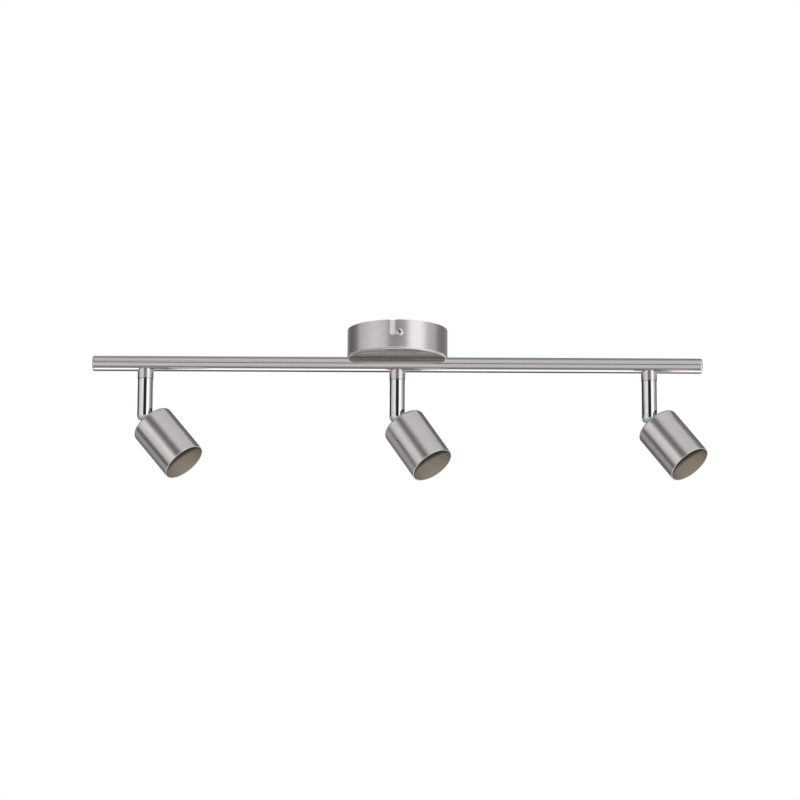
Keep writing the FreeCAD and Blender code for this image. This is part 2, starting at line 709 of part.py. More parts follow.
def make_swivel_hardware():
    """Per stem: a flanged hollow nipple, its nut in the rail, a wave washer and a stop pin."""
    nipples, nuts, washers, pins = [], [], [], []
    bore = "nipple_bore_dia / 2"
    for side in SIDES:
        x = ALONG[side]
        foot = f"({FLANGE_Z} - flange_height)"
        shaft = rod(NIPPLE_R, f"{NIPPLE_TOP} - {foot}", (x, "0", foot))
        flange = rod(FLANGE_R, "flange_height", (x, "0", foot))
        through = rod(bore, f"{NIPPLE_TOP} - {foot} + 2", (x, "0", f"{foot} - 1"))
        nipples.append(without(together([shaft, flange]), through))
        nut = hexagon("nut_across", "nut_height", (x, "0", NUT_SEAT))
        nuts.append(without(nut, rod(f"{NIPPLE_R} + press_gap", "3 * nut_height", (x, "0", f"{NUT_SEAT} - 1"))))
        washers.append(ring(FLANGE_R, f"{NIPPLE_R} + loose_gap", "washer_gauge", (x, "0", f"{FLANGE_Z} + seat_gap")))
        pin_foot = f"({COLLAR_FOOT} - swivel_gap - groove_depth + loose_gap)"
        pins.append(rod(STOP_PIN_R, f"{COLLAR_FOOT} - {pin_foot} + groove_depth * 0.9", (x, GROOVE_R, pin_foot)))
    keep(group(nipples), "swivel_nipples")
    keep(group(nuts), "nipple_nuts")
    keep(group(washers), "wave_washers")
    keep(group(pins), "stop_pins")


# ---------------------------------------------------------------- stems, each in its own frame

def make_stem(side):
    """A tube with a rounded end, slotted into a fork that opens in an arch towards the head."""
    body = new_body(f"stem_{side}_tube")
    roof = "(fork_room + fork_roof)"
    wire_r = f"({STEM_BORE} * 0.38)"
    turned(body, [
        ("0", "-stem_end"),
        (f"{STEM_R} - stem_corner", "-stem_end"),
        (STEM_R, "stem_corner - stem_end", f"{STEM_R} - stem_corner", "stem_corner - stem_end"),
        (STEM_R, f"{STEM_TOP} - loose_gap"),
        (f"{STEM_R} - loose_gap", STEM_TOP),
        (STEM_BORE, STEM_TOP),
        (STEM_BORE, roof),
        (wire_r, roof),
        (wire_r, "0"),
        ("0", "0"),
    ])
    half = "(fork_slot / 2)"
    slot = [(f"-{half}", f"-{STEM_R} - 1"), (half, f"-{STEM_R} - 1"), (half, "fork_room"), (f"-{half}", "fork_room")]
    pocket(body, "YZ", [slot], "2 * stem_dia")
    arch = "(fork_mouth / 2)"
    mouth = [
        (f"-{arch}", f"-{STEM_R} - 1"),
        (arch, f"-{STEM_R} - 1"),
        (arch, f"fork_room - {arch}"),
        ("0", "fork_room", "0", f"fork_room - {arch}"),
        (f"-{arch}", f"fork_room - {arch}", "0", f"fork_room - {arch}"),
    ]
    pocket(body, "YZ", [mouth], STEM_R, "behind", f"fork_cheek + {STEM_R}")
    pocket(body, "XZ", [("0", "0", f"{PIN_R} + press_gap")], "2 * stem_dia")
    keep(body, f"stem_{side}", STEM_FRAME[side])


def make_bush(side):
    """The bush that turns on the nipple; its groove stops short of a full turn on the stop pin."""
    body = new_body(f"bush_{side}_ring")
    low = f"({STEM_TOP} - bush_height)"
    turned(body, [(BUSH_BORE, low), (BUSH_R, low), (BUSH_R, STEM_TOP), (BUSH_BORE, STEM_TOP)])
    near, far = f"-({GROOVE_R} - {GROOVE_HALF})", f"-({GROOVE_R} + {GROOVE_HALF})"
    floor, above = f"({STEM_TOP} - groove_depth)", f"({STEM_TOP} + 1)"
    groove = [(far, floor), (near, floor), (near, above), (far, above)]
    turned(body, groove, kind="PartDesign::Groove", angle="360 - stop_angle")
    keep(body, f"swivel_bush_{side}", STEM_FRAME[side])


def make_tilt_hardware(side):
    """The tilt pin, flush with the fork, and a friction washer either side of the tongue."""
    reach = f"(sqrt({STEM_R}^2 - {PIN_R}^2) - seat_gap)"
    pin = rod(PIN_R, f"2 * {reach}", ("0", f"-{reach}", "0"), "Y")
    keep(group([pin]), f"tilt_pin_{side}", STEM_FRAME[side])
    gauge = "((fork_slot - tongue_gauge) / 2 - 2 * seat_gap)"
    hole = f"{PIN_R} + running_gap"
    washers = [
        ring("tongue_width / 2 - loose_gap", hole, gauge, ("0", start, "0"), "Y")
        for start in ("tongue_gauge / 2 + seat_gap", f"-tongue_gauge / 2 - seat_gap - {gauge}")
    ]
    keep(group(washers), f"friction_washers_{side}", STEM_FRAME[side])


def make_stem_lead(side):
    """The straight lead down the middle of the stem, from the nipple to the fork."""
    low = "(fork_room + 1)"
    high = f"({STEM_TOP} + swivel_gap + collar_drop / 3 - 2 * loose_gap)"
    keep(group([rod("lead_dia / 2", f"{high} - {low}", ("0", "0", low))]), f"stem_lead_{side}", STEM_FRAME[side])


# ---------------------------------------------------------------- heads, each in its own frame

def make_head_shell(side):
    """A spun cup: a thin front for the lamp and a slightly thicker back."""
    body = new_body(f"head_{side}_cup")
    inner_corner = "(cup_corner - cup_wall)"
    back_x = "(neck_length + cup_wall)"
    turned(body, [
        ("neck_length", f"{NIPPLE_R} + loose_gap"),
        ("neck_length", f"{CUP_R} - cup_corner"),
        ("neck_length + cup_corner", CUP_R, "neck_length + cup_corner", f"{CUP_R} - cup_corner"),
        (f"{CUP_MOUTH} - cup_lip", CUP_R),
        (CUP_MOUTH, f"{CUP_R} - cup_lip", f"{CUP_MOUTH} - cup_lip", f"{CUP_R} - cup_lip"),
        (CUP_MOUTH, LAMP_BORE),
        (STEP_X, LAMP_BORE),
        (STEP_X, BACK_BORE),
        (f"{back_x} + {inner_corner}", BACK_BORE),
        (back_x, f"{BACK_BORE} - {inner_corner}", f"{back_x} + {inner_corner}", f"{BACK_BORE} - {inner_corner}"),
        (back_x, f"{NIPPLE_R} + loose_gap"),
    ], "H_Axis")
    keep(body, f"head_shell_{side}", HEAD_FRAME[side])


def make_lug(side):
    """A flat tongue for the fork, on a disc and a hollow threaded shank that enters the cup."""
    body = new_body(f"lug_{side}_tongue")
    half = "(tongue_width / 2)"
    disc_x = "(neck_length - lug_disc_height - seat_gap)"
    tongue = [
        (f"-{half}", "0", "0", "0"),
        ("0", half, "0", "0"),
        (f"{disc_x} + 1", half),
        (f"{disc_x} + 1", f"-{half}"),
        ("0", f"-{half}"),
    ]
    extruded(body, "XZ", [tongue], "tongue_gauge")
    end_x = "(neck_length + shank_length)"
    turned(body, [
        (disc_x, "0"),
        (disc_x, "lug_disc_dia / 2"),
        ("neck_length - seat_gap", "lug_disc_dia / 2"),
        ("neck_length - seat_gap", NIPPLE_R),
        (end_x, NIPPLE_R),
        (end_x, "0"),
    ], "H_Axis")
    bore_r = "(lug_bore_dia / 2)"
    cross_x = f"({PIN_R} + tongue_width / 2 + {bore_r})"
    pocket(body, "YZ", [("0", "0", bore_r)], f"{end_x} - {cross_x} + {bore_r}", "behind", end_x)
    pocket(body, "XY", [(cross_x, "0", f"{bore_r} * 0.8")], "2 * tongue_width")
    pocket(body, "XZ", [("0", "0", f"{PIN_R} + running_gap")], "2 * tongue_width")
    keep(body, f"hinge_lug_{side}", HEAD_FRAME[side])
    nut_x = "(neck_length + cup_wall + seat_gap)"
    nut = hexagon("nut_across", "nut_height", (nut_x, "0", "0"), "X")
    hole = rod(f"{NIPPLE_R} + press_gap", "3 * nut_height", (f"{nut_x} - 1", "0", "0"), "X")
    keep(without(nut, hole), f"lug_nut_{side}", HEAD_FRAME[side])


def make_holder(side):
    """The plate that crosses the cup, and the ceramic two-pin lampholder behind it."""
    plate = new_body(f"plate_{side}_disc")
    rim = f"({BACK_BORE} - seat_gap)"
    back = f"({PLATE_X} - plate_gauge)"
    boss_hole = "(holder_boss_dia / 2 + loose_gap)"
    turned(plate, [
        (PLATE_X, boss_hole),
        (PLATE_X, rim),
        (f"{PLATE_X} - plate_skirt", rim),
        (f"{PLATE_X} - plate_skirt", f"{rim} - plate_gauge"),
        (back, f"{rim} - plate_gauge"),
        (back, boss_hole),
    ], "H_Axis")
    screw_y = "(holder_screw_spacing / 2)"
    screw_hole = "(holder_screw_dia / 2 + seat_gap)"
    pair = [(screw_y, "0", screw_hole), (f"-{screw_y}", "0", screw_hole)]
    pocket(plate, "YZ", pair, "2 * cup_length", "ahead")
    keep(plate, f"holder_plate_{side}", HEAD_FRAME[side])

    holder = new_body(f"lampholder_{side}_ceramic")
    turned(holder, [
        (HOLDER_BACK, "0"),
        (HOLDER_BACK, "holder_dia / 2"),
        (HOLDER_SHOULDER, "holder_dia / 2"),
        (HOLDER_SHOULDER, "holder_boss_dia / 2"),
        (HOLDER_FRONT, "holder_boss_dia / 2"),
        (HOLDER_FRONT, "0"),
    ], "H_Axis")
    high, low = "holder_pins / 2", "-holder_pins / 2"
    keyholes = [("0", high, "keyhole_dia / 2"), ("0", low, "keyhole_dia / 2")]
    pocket(holder, "YZ", keyholes, "keyhole_depth", "behind", HOLDER_FRONT)
    wells = [("0", high, "contact_dia / 2 + seat_gap"), ("0", low, "contact_dia / 2 + seat_gap")]
    pocket(holder, "YZ", wells, "2 * cup_length", "ahead")
    pocket(holder, "YZ", pair, "2 * cup_length", "ahead")
    keep(holder, f"lampholder_{side}", HEAD_FRAME[side])

    contacts = [rod("contact_dia / 2", "contact_length", (CONTACT_X, "0", z), "X") for z in (high, low)]
    keep(group(contacts), f"holder_contacts_{side}", HEAD_FRAME[side])


def make_holder_screws(side):
    screws = []
    for sign in ("", "-"):
        screw = pan_screw("holder_screw_head", "holder_screw_height", "holder_screw_dia", "(plate_gauge + 5)")
        place = frame_at(f"{PLATE_X} + seat_gap", f"{sign}holder_screw_spacing / 2", "0", "0", "90")
        screw.setExpression("Placement", bound(place))
        screws.append(screw)
    keep(group(screws), f"holder_screws_{side}", HEAD_FRAME[side])


def make_lamp_leads(side):
    """Two insulated wires from the lug's bore to the contacts."""
    start = "(neck_length - 4)"
    leave = "(neck_length + shank_length + 0.6)"
    arrive = f"({HOLDER_BACK} - 1.4)"
    wires = []
    for sign in ("", "-"):
        beside = f"{sign}(wire_dia / 2 + seat_gap)"
        out = f"{sign}holder_pins / 2"
        points = [(start, "0", beside), (leave, "0", beside), (arrive, "0", out), (f"{CONTACT_X} - seat_gap", "0", out)]
        wires.append(lead(points, "wire_dia / 2"))
    lead_group(wires, f"lamp_leads_{side}", HEAD_FRAME[side])


make_canopy()
make_bracket()
make_canopy_screws()
make_wiring_block()
make_earth_screw()
make_rail()
make_end_caps()
make_rail_fixings()
make_rail_leads()
make_collars()
make_swivel_hardware()
for place in SIDES:
    make_stem(place)
    make_bush(place)
    make_tilt_hardware(place)
    make_stem_lead(place)
    make_head_shell(place)
    make_lug(place)
    make_holder(place)
    make_holder_screws(place)
    make_lamp_leads(place)
doc.recompute()

failed = [item.Label for item in doc.Objects if {"Invalid", "Error"} & set(item.State)]
failed += [item.Label for item in nodes if item.Shape.isNull() or not item.Shape.isValid()]
if failed:
    raise RuntimeError("these objects did not build: " + ", ".join(failed))

os.makedirs("parts", exist_ok=True)
for piece in nodes:
    piece.Shape.exportStep(f"parts/{piece.Label}.step")
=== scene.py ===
"""Ceiling spotlight bar: satin nickel canopy, rail and cups, with chromed stems and end caps.

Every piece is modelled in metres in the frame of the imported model: +Z up, origin in the ceiling
plane over the middle of the canopy, +X along the rail and -Y towards the viewer.
"""

import json
import math

import bmesh
import bpy
from bpy.props import FloatProperty, PointerProperty, StringProperty
from mathutils import Matrix, Vector


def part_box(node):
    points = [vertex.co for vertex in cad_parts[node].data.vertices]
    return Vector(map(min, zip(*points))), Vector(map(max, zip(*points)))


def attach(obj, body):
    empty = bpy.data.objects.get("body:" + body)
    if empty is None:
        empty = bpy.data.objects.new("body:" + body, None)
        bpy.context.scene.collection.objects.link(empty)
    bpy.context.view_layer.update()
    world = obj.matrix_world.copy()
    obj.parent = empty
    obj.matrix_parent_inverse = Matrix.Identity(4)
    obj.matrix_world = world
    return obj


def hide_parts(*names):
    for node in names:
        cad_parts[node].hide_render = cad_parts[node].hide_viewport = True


bl_info = {
    "name": "Ceiling spotlight bar",
    "version": (1, 0, 0),
    "blender": (4, 5, 0),
    "location": "3D View > Sidebar > Spotlight Bar",
    "description": "Models a three-head ceiling spotlight bar piece by piece",
    "category": "Object",
}

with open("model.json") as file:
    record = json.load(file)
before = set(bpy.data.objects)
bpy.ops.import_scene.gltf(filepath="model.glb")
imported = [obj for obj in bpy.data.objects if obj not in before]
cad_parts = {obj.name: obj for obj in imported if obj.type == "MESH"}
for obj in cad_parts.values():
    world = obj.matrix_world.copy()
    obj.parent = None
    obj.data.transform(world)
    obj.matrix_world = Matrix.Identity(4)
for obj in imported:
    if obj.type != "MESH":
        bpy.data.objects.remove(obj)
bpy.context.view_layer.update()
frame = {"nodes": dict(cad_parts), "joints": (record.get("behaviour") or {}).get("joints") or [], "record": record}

MM = 0.001
NEARLY = 0.01 * MM  # how close a point is to count as on a circle
OVERCUT = 2 * MM  # how far a cutting shape stands out of what it cuts
OVERLAP = 1 * MM  # how far joined shapes run into each other
SHARP = math.radians(35)  # edges that bend more than this are softened
CREASE = math.radians(40)  # and past this they stay creased in the shading
DRIFT = 18 * MM  # how far apart the slow changes of a finish lie
RAIL_RINGS = 40  # lengths that the rail's outside is divided into
SCREW_TURN = math.radians(14)  # how far the canopy screws' crosses are from upright
SIDES = ("left", "middle", "right")
JOINTS = {joint["name"]: joint for joint in frame["joints"]}
MOUNTS = {mount["name"]: mount for mount in frame["record"]["mounts"]}
ALONG_X = Matrix.Rotation(math.pi / 2, 4, "Y")  # lays a shape made along Z along X
ACROSS = Matrix.Rotation(math.pi / 2, 4, "X")  # and along Y


# ---------------------------------------------------------------- sizes, finishes and studio

def millimetres(name, default, description):
    return FloatProperty(
        name=name, description=description, default=default * MM, unit="LENGTH", precision=5)


def hex_colour(name, default, description):
    return StringProperty(name=name, description=description, default=default)


def share(name, default, description):
    return FloatProperty(
        name=name, description=description, default=default, min=0.0, max=1.0, subtype="FACTOR")


class BarSizes(bpy.types.PropertyGroup):
    """Sizes of the fixture that its boxes and joints do not already give."""

    sheet_wall: millimetres("Canopy wall", 0.9, "Thickness of the canopy's pressed sheet")
    canopy_corner: millimetres("Canopy corner", 3.0, "Radius where the canopy's wall turns into its floor")
    slot_leg: millimetres("Slot leg", 7.2, "Width of the upright part of the canopy's L-shaped slot")
    slot_foot: millimetres("Slot foot", 6.4, "Height of the level part of the slot")
    slot_shift: millimetres("Slot shift", 8.8, "Distance from the slot's leg to its screw")
    screw_drop: millimetres("Screw drop", 16.0, "Depth of the canopy's screws below the ceiling")
    screw_offset: millimetres("Screw offset", 2.7, "Distance of each canopy screw from the middle plane")
    screw_head: millimetres("Screw head", 9.5, "Diameter of the canopy screws' heads")
    screw_height: millimetres("Screw height", 3.0, "Height of the canopy screws' heads")
    screw_shank: millimetres("Screw shank", 5.0, "Diameter of the canopy screws")
    screw_length: millimetres("Screw length", 6.0, "Length of every screw below its head")
    hanger: millimetres("Hanger", 40.0, "From the middle of the canopy to each nipple that holds the rail")
    tube_wall: millimetres("Rail wall", 1.0, "Wall of the rail's tube")
    cap_lip: millimetres("Cap lip", 0.7, "Straight rim of an end cap before its rounded edge")
    cap_edge: millimetres("Cap edge", 1.9, "Radius of an end cap's rounded edge")
    cap_plug: millimetres("Cap plug", 9.0, "Length of an end cap's sleeve in the rail")
    cap_skin: millimetres("Cap skin", 1.2, "Thickness of an end cap")
    collar_rise: millimetres("Collar rise", 2.2, "Height of a collar's saddle at its front and back")
    boss_lift: millimetres("Boss lift", 1.0, "Height of the collar's inner boss above its foot")
    boss_wall: millimetres("Boss wall", 1.2, "Wall of that boss")
    stem_wall: millimetres("Stem wall", 1.5, "Wall of a stem's tube")
    fork_slot: millimetres("Fork slot", 6.2, "Width of the slot in a stem's round end")
    fork_room: millimetres("Fork room", 6.9, "Height of the slot above the tilt pin")
    fork_roof: millimetres("Fork roof", 5.5, "Solid metal above the slot")
    fork_mouth: millimetres("Fork mouth", 11.0, "Width of the arch on the head's side of the slot")
    fork_cheek: millimetres("Fork cheek", 4.8, "From the tilt pin to where the arch starts")
    stem_end: millimetres("Stem end", 7.7, "From the tilt pin to the stem's end")
    stem_corner: millimetres("Stem corner", 5.8, "Radius round the stem's end")
    tongue_width: millimetres("Tongue width", 11.0, "Width of the hinge tongue")
    tongue_gauge: millimetres("Tongue thickness", 5.0, "Thickness of the hinge tongue")
    lug_disc: millimetres("Lug disc", 16.0, "Diameter of the disc between tongue and cup")
    lug_disc_height: millimetres("Lug disc height", 2.2, "Thickness of that disc")
    shank: millimetres("Lug shank", 5.8, "Length of the lug's threaded shank inside the cup")
    lug_bore: millimetres("Lug bore", 4.0, "Diameter of the lead's way through the shank")
    side_bore: millimetres("Side bore", 3.2, "Diameter of the lead's way out at the disc's side")
    side_bore_shift: millimetres("Side bore shift", 2.0, "From the tongue and pin radii to that bore")
    nipple: millimetres("Nipple", 10.0, "Diameter of every hollow nipple and threaded shank")
    neck: millimetres("Neck", 15.3, "From the tilt pin to the cup's closed end")
    cup_length: millimetres("Cup length", 70.0, "Length of a cup")
    cup_diameter: millimetres("Cup diameter", 55.0, "Outside diameter of a cup")
    cup_wall: millimetres("Cup wall", 1.0, "Wall of the cup's front")
    cup_back_wall: millimetres("Cup back wall", 1.6, "Wall of the cup behind the lamp space")
    cup_corner: millimetres("Cup corner", 3.0, "Radius of the cup's closed end")
    lamp_depth: millimetres("Lamp depth", 46.0, "Depth of the lamp space in a cup")
    cup_lip: millimetres("Cup lip", 0.35, "Radius round the outside of the cup's mouth")
    cup_inner_lip: millimetres("Cup inner lip", 0.15, "Radius round the inside of the cup's mouth")
    plate_inset: millimetres("Plate inset", 2.0, "From the lamp space to the holder plate")
    plate_gauge: millimetres("Plate thickness", 1.0, "Thickness of the holder plate")
    plate_skirt: millimetres("Plate skirt", 7.0, "Height of the holder plate's skirt")
    holder: millimetres("Lampholder", 27.0, "Diameter of the lampholder behind its plate")
    holder_boss: millimetres("Holder boss", 16.8, "Diameter of the lampholder's front")
    holder_height: millimetres("Holder height", 8.8, "Height of the lampholder behind its plate")
    keyhole: millimetres("Keyhole", 5.2, "Diameter of the holes for the lamp's pins")
    keyhole_depth: millimetres("Keyhole depth", 8.4, "Depth of those holes")
    holder_pins: millimetres("Lamp pins", 10.0, "Distance between the lamp's two pins")
    holder_screws: millimetres("Holder screws", 22.4, "Distance between the lampholder's two screws")
    holder_screw: millimetres("Holder screw", 2.5, "Diameter of those screws")
    holder_screw_head: millimetres("Holder screw head", 4.8, "Diameter of their heads")
    holder_screw_height: millimetres("Holder screw height", 1.6, "Height of their heads")
    soft_edge: millimetres("Soft edge", 0.2, "Radius that deburring leaves on cut edges")
    press_gap: millimetres("Press gap", 0.01, "Gap round a piece that is pressed in")
    seat_gap: millimetres("Seat gap", 0.03, "Gap between pieces that rest on each other")
    running_gap: millimetres("Running gap", 0.05, "Gap round a pin that turns")
    loose_gap: millimetres("Loose gap", 0.2, "Gap round a piece in a clearance hole")


class BarFinishes(bpy.types.PropertyGroup):
    """Colours, as sRGB hex values, and roughness of the finishes."""

    nickel: hex_colour("Satin nickel", "#EAE6E5", "Warm white of the satin nickel plate")
    nickel_rough: share("Nickel roughness", 0.21, "Roughness of the satin nickel plate")
    # painted shade: the canopy's floor gets a greyer nickel than the wall to stand for the shade on it
    shaded_floor_nickel: hex_colour("Shaded floor nickel", "#C4BFBC", "Greyer tone of the thin plate on the canopy's floor")
    chrome: hex_colour("Chrome", "#EEF0F2", "Cool white of the chrome plate")
    chrome_rough: share("Chrome roughness", 0.05, "Roughness of the chrome plate")
    lining: hex_colour("Cup lining", "#8D8579", "Dull warm grey of the unpolished inside of the cups")
    lining_rough: share("Lining roughness", 0.6, "Roughness of the inside of the cups")
    zinc: hex_colour("Zinc plate", "#F0F0EF", "Pale grey of zinc plate")
    brass: hex_colour("Brass", "#D2B063", "Yellow of machined brass")
    ceramic: hex_colour("Ceramic", "#EDE9DF", "Warm white of unglazed ceramic")
    nylon: hex_colour("Wiring block", "#E9E8E2", "White of the moulded wiring block")
    sleeve: hex_colour("Lead sleeve", "#DCD9D2", "Off-white of the silicone sleeve on the leads")
    washer: hex_colour("Friction washer", "#1C1C1D", "Black of the friction washers")


def sizes():
    return bpy.context.scene.bar_sizes


def finishes():
    return bpy.context.scene.bar_finishes


# ---------------------------------------------------------------- places, from the frame

def box_size(node):
    low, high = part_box(node)
    return Vector(high) - Vector(low)


def box_middle(node):
    low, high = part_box(node)
    return (Vector(high) + Vector(low)) / 2


def stem_place(side):
    """Matrix of a stem's own frame: origin on its tilt pin, +Y along the pin, +Z up."""
    tilt = JOINTS[f"tilt_{side}"]
    across = -Vector(tilt["axis"])
    upright = Vector((0, 0, 1))
    return axes(across.cross(upright), across, upright, Vector(tilt["pos_m"]))


def head_place(side):
    """Matrix of a head's own frame: origin on its tilt pin, +Y along the pin, +X out of the cup."""
    tilt = JOINTS[f"tilt_{side}"]
    outward = Vector(MOUNTS[f"lamp_bore_{side}"]["axis"])
    across = -Vector(tilt["axis"])
    return axes(outward, across, outward.cross(across), Vector(tilt["pos_m"]))


def axes(x_axis, y_axis, z_axis, origin):
    place = Matrix((x_axis, y_axis, z_axis)).transposed().to_4x4()
    place.translation = origin
    return place


# ---------------------------------------------------------------- mesh tools

def lathe(outline, closed=True, steps=128):
    """Spin (radius, height) points about Z; an open outline starts and ends on the axis."""
    mesh = bmesh.new()
    points = [mesh.verts.new((radius, 0, height)) for radius, height in outline]
    following = points[1:] + points[:1] if closed else points[1:]
    edges = [mesh.edges.new(pair) for pair in zip(points, following)]
    bmesh.ops.spin(mesh, geom=points + edges, cent=(0, 0, 0), axis=(0, 0, 1), angle=2 * math.pi,
                   steps=steps, use_merge=True, use_duplicate=False)
    bmesh.ops.remove_doubles(mesh, verts=mesh.verts, dist=1e-7)
    bmesh.ops.recalc_face_normals(mesh, faces=mesh.faces)
    return mesh


def box(low, high):
    """A closed box between two corners."""
    mesh = bmesh.new()
    bmesh.ops.create_cube(mesh, size=1)
    size = Vector(high) - Vector(low)
    bmesh.ops.scale(mesh, vec=size, verts=mesh.verts)
    bmesh.ops.translate(mesh, vec=(Vector(high) + Vector(low)) / 2, verts=mesh.verts)
    return mesh


def cylinder(radius, length, place=Matrix(), steps=96):
    """A closed cylinder along Z, centred, then placed."""
    mesh = bmesh.new()
    bmesh.ops.create_cone(mesh, cap_ends=True, segments=steps, radius1=radius, radius2=radius, depth=length)
    bmesh.ops.transform(mesh, matrix=place, verts=mesh.verts)
    return mesh


def soften(mesh, radius, segments=3, chosen=lambda edge: True):
    """Round the sharp edges that chosen picks."""
    sharp = [
        edge for edge in mesh.edges
        if len(edge.link_faces) == 2 and edge.calc_face_angle() > SHARP and chosen(edge)
    ]
    bmesh.ops.bevel(mesh, geom=sharp, offset=radius, offset_type="OFFSET", segments=segments, profile=0.5,
                    affect="EDGES", clamp_overlap=True, material=-1)


def combine(mesh, tools, operation="DIFFERENCE"):
    """Cut the tools out of a closed mesh, or join them to it."""
    shaped = temporary(mesh)
    for tool in tools:
        other = temporary(tool)
        modifier = shaped.modifiers.new("shape", "BOOLEAN")
        modifier.operation = operation
        modifier.solver = "EXACT"
        modifier.object = other
        evaluated = shaped.evaluated_get(bpy.context.evaluated_depsgraph_get())
        result = bmesh.new()
        result.from_mesh(evaluated.to_mesh())
        evaluated.to_mesh_clear()
        shaped.modifiers.clear()
        result.to_mesh(shaped.data)
        discard(other)
        result.free()
    finished = bmesh.new()
    finished.from_mesh(shaped.data)
    discard(shaped)
    return finished


def temporary(mesh):
    """An unlisted object for one shaping step; it takes the bmesh over."""
    data = bpy.data.meshes.new("shaping")
    mesh.to_mesh(data)
    mesh.free()
    thing = bpy.data.objects.new("shaping", data)
    bpy.context.collection.objects.link(thing)
    return thing


def discard(thing):
    data = thing.data
    bpy.data.objects.remove(thing)
    bpy.data.meshes.remove(data)


def merged(meshes):
    """Several meshes as one."""
    whole = bmesh.new()
    for mesh in meshes:
        data = bpy.data.meshes.new("part")
        mesh.to_mesh(data)
        whole.from_mesh(data)
        bpy.data.meshes.remove(data)
        mesh.free()
    return whole


def piece(name, mesh, body, materials, replaced, place=Matrix()):
    """Finish a bmesh as an object that rides on a body and stands for CAD nodes."""
    bmesh.ops.transform(mesh, matrix=place, verts=mesh.verts)
    data = bpy.data.meshes.new(name)
    for face in mesh.faces:
        face.smooth = True
    mesh.to_mesh(data)
    mesh.free()
    data.set_sharp_from_angle(angle=CREASE)
    thing = bpy.data.objects.new(name, data)
    bpy.context.collection.objects.link(thing)
    for material in materials:
        data.materials.append(material)
    shading = thing.modifiers.new("face weighted normals", "WEIGHTED_NORMAL")
    shading.mode = "FACE_AREA"
    shading.keep_sharp = True
    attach(thing, body)
    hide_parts(*replaced)


# ---------------------------------------------------------------- materials

def linear(hex_value):
    """sRGB hex colour as the linear RGBA that shaders use."""
    channels = [int(hex_value[start:start + 2], 16) / 255 for start in (1, 3, 5)]
    curve = [c / 12.92 if c <= 0.04045 else ((c + 0.055) / 1.055) ** 2.4 for c in channels]
    return (*curve, 1.0)


def add_node(tree, kind, inputs=None, **settings):
    """Add one node; an input is a value or the socket that feeds it."""
    node = tree.nodes.new(kind)
    for name, setting in settings.items():
        setattr(node, name, setting)
    for name, source in (inputs or {}).items():
        if isinstance(source, bpy.types.NodeSocket):
            tree.links.new(source, node.inputs[name])
        else:
            node.inputs[name].default_value = source
    return node


def mix(tree, factor, first, second):
    """Blend two colours; each may be a value or a socket."""
    node = add_node(tree, "ShaderNodeMix", data_type="RGBA")
    sockets = [node.inputs["Factor"], *[socket for socket in node.inputs if socket.type == "RGBA"]]
    for socket, source in zip(sockets, (factor, first, second)):
        if isinstance(source, bpy.types.NodeSocket):
            tree.links.new(source, socket)
        else:
            socket.default_value = source
    return next(socket for socket in node.outputs if socket.type == "RGBA")


def finish(name, colour, *, metallic, roughness, grain, depth, tint=0.05, uneven=0.12, place=Matrix()):
    """A surface with a slow drift of colour and a grain of its own.

    The grain's size along the three axes of place, and its depth, are in millimetres.  Tint is how
    much darker the drift's dark side is, and uneven how far the roughness strays with the grain.
    """
    if name in bpy.data.materials:
        return bpy.data.materials[name]
    material = bpy.data.materials.new(name)
    material.use_nodes = True
    tree = material.node_tree
    tree.nodes.clear()
    where = add_node(tree, "ShaderNodeTexCoord").outputs["Object"]
    laid = add_node(tree, "ShaderNodeMapping", {
        "Vector": where, "Location": place.translation, "Rotation": place.to_euler(),
        "Scale": [size * MM for size in grain]}, vector_type="TEXTURE")
    drift = add_node(tree, "ShaderNodeTexNoise", {"Vector": where, "Scale": 1 / DRIFT, "Detail": 3.0})
    lines = add_node(tree, "ShaderNodeTexNoise", {
        "Vector": laid.outputs["Vector"], "Scale": 1.0, "Detail": 4.0})
    base = linear(colour)
    dark = (*(channel * (1 - tint) for channel in base[:3]), 1.0)
    rough = add_node(tree, "ShaderNodeMapRange", {
        "Value": lines.outputs["Fac"], "From Min": 0.3, "From Max": 0.7,
        "To Min": roughness * (1 - uneven), "To Max": roughness * (1 + uneven)})
    bump = add_node(tree, "ShaderNodeBump", {
        "Height": lines.outputs["Fac"], "Strength": 1.0, "Distance": depth * MM})
    shader = add_node(tree, "ShaderNodeBsdfPrincipled", {
        "Base Color": mix(tree, drift.outputs["Fac"], dark, base), "Metallic": metallic,
        "Roughness": rough.outputs["Result"], "Normal": bump.outputs["Normal"]})
    add_node(tree, "ShaderNodeOutputMaterial", {"Surface": shader.outputs["BSDF"]})
    return material


def satin_nickel(part, place=Matrix(), along=(12.0, 12.0, 0.35), dulled=1.0, depth=0.0006):
    """Nickel plate over fine wheel-brushed lines: broad soft bands with a faint silky grain.

    The lines run round the part and are drawn some three times as coarse as real ones.
    """
    look = finishes()
    return finish(f"satin_nickel_{part}", look.nickel, metallic=1.0, roughness=look.nickel_rough * dulled,
                  grain=along, depth=depth, place=place)


def shaded_floor_nickel():
    """Nickel for the canopy's floor, greyer than the wall's as painted shade where the floor faces down; less
    brushed than the wall.
    """
    return finish("painted_shade_nickel", finishes().shaded_floor_nickel, metallic=1.0, roughness=0.2,
                  grain=(6.0, 6.0, 6.0), depth=0.0002)


def chrome_plate():
    """Bright chromium over nickel: near-mirror reflections with a trace of polishing waviness."""
    look = finishes()
    return finish("bright_chrome_plate", look.chrome, metallic=1.0, roughness=look.chrome_rough,
                  grain=(7.0, 7.0, 7.0), depth=0.001, uneven=0.4)


def cup_lining():
    """The cup's inside as drawn, under a thin dull flash of nickel: chalky, with hardly any gloss."""
    look = finishes()
    return finish("dull_drawn_lining", look.lining, metallic=0.2, roughness=look.lining_rough,
                  grain=(0.9, 0.9, 0.9), depth=0.01, tint=0.1)


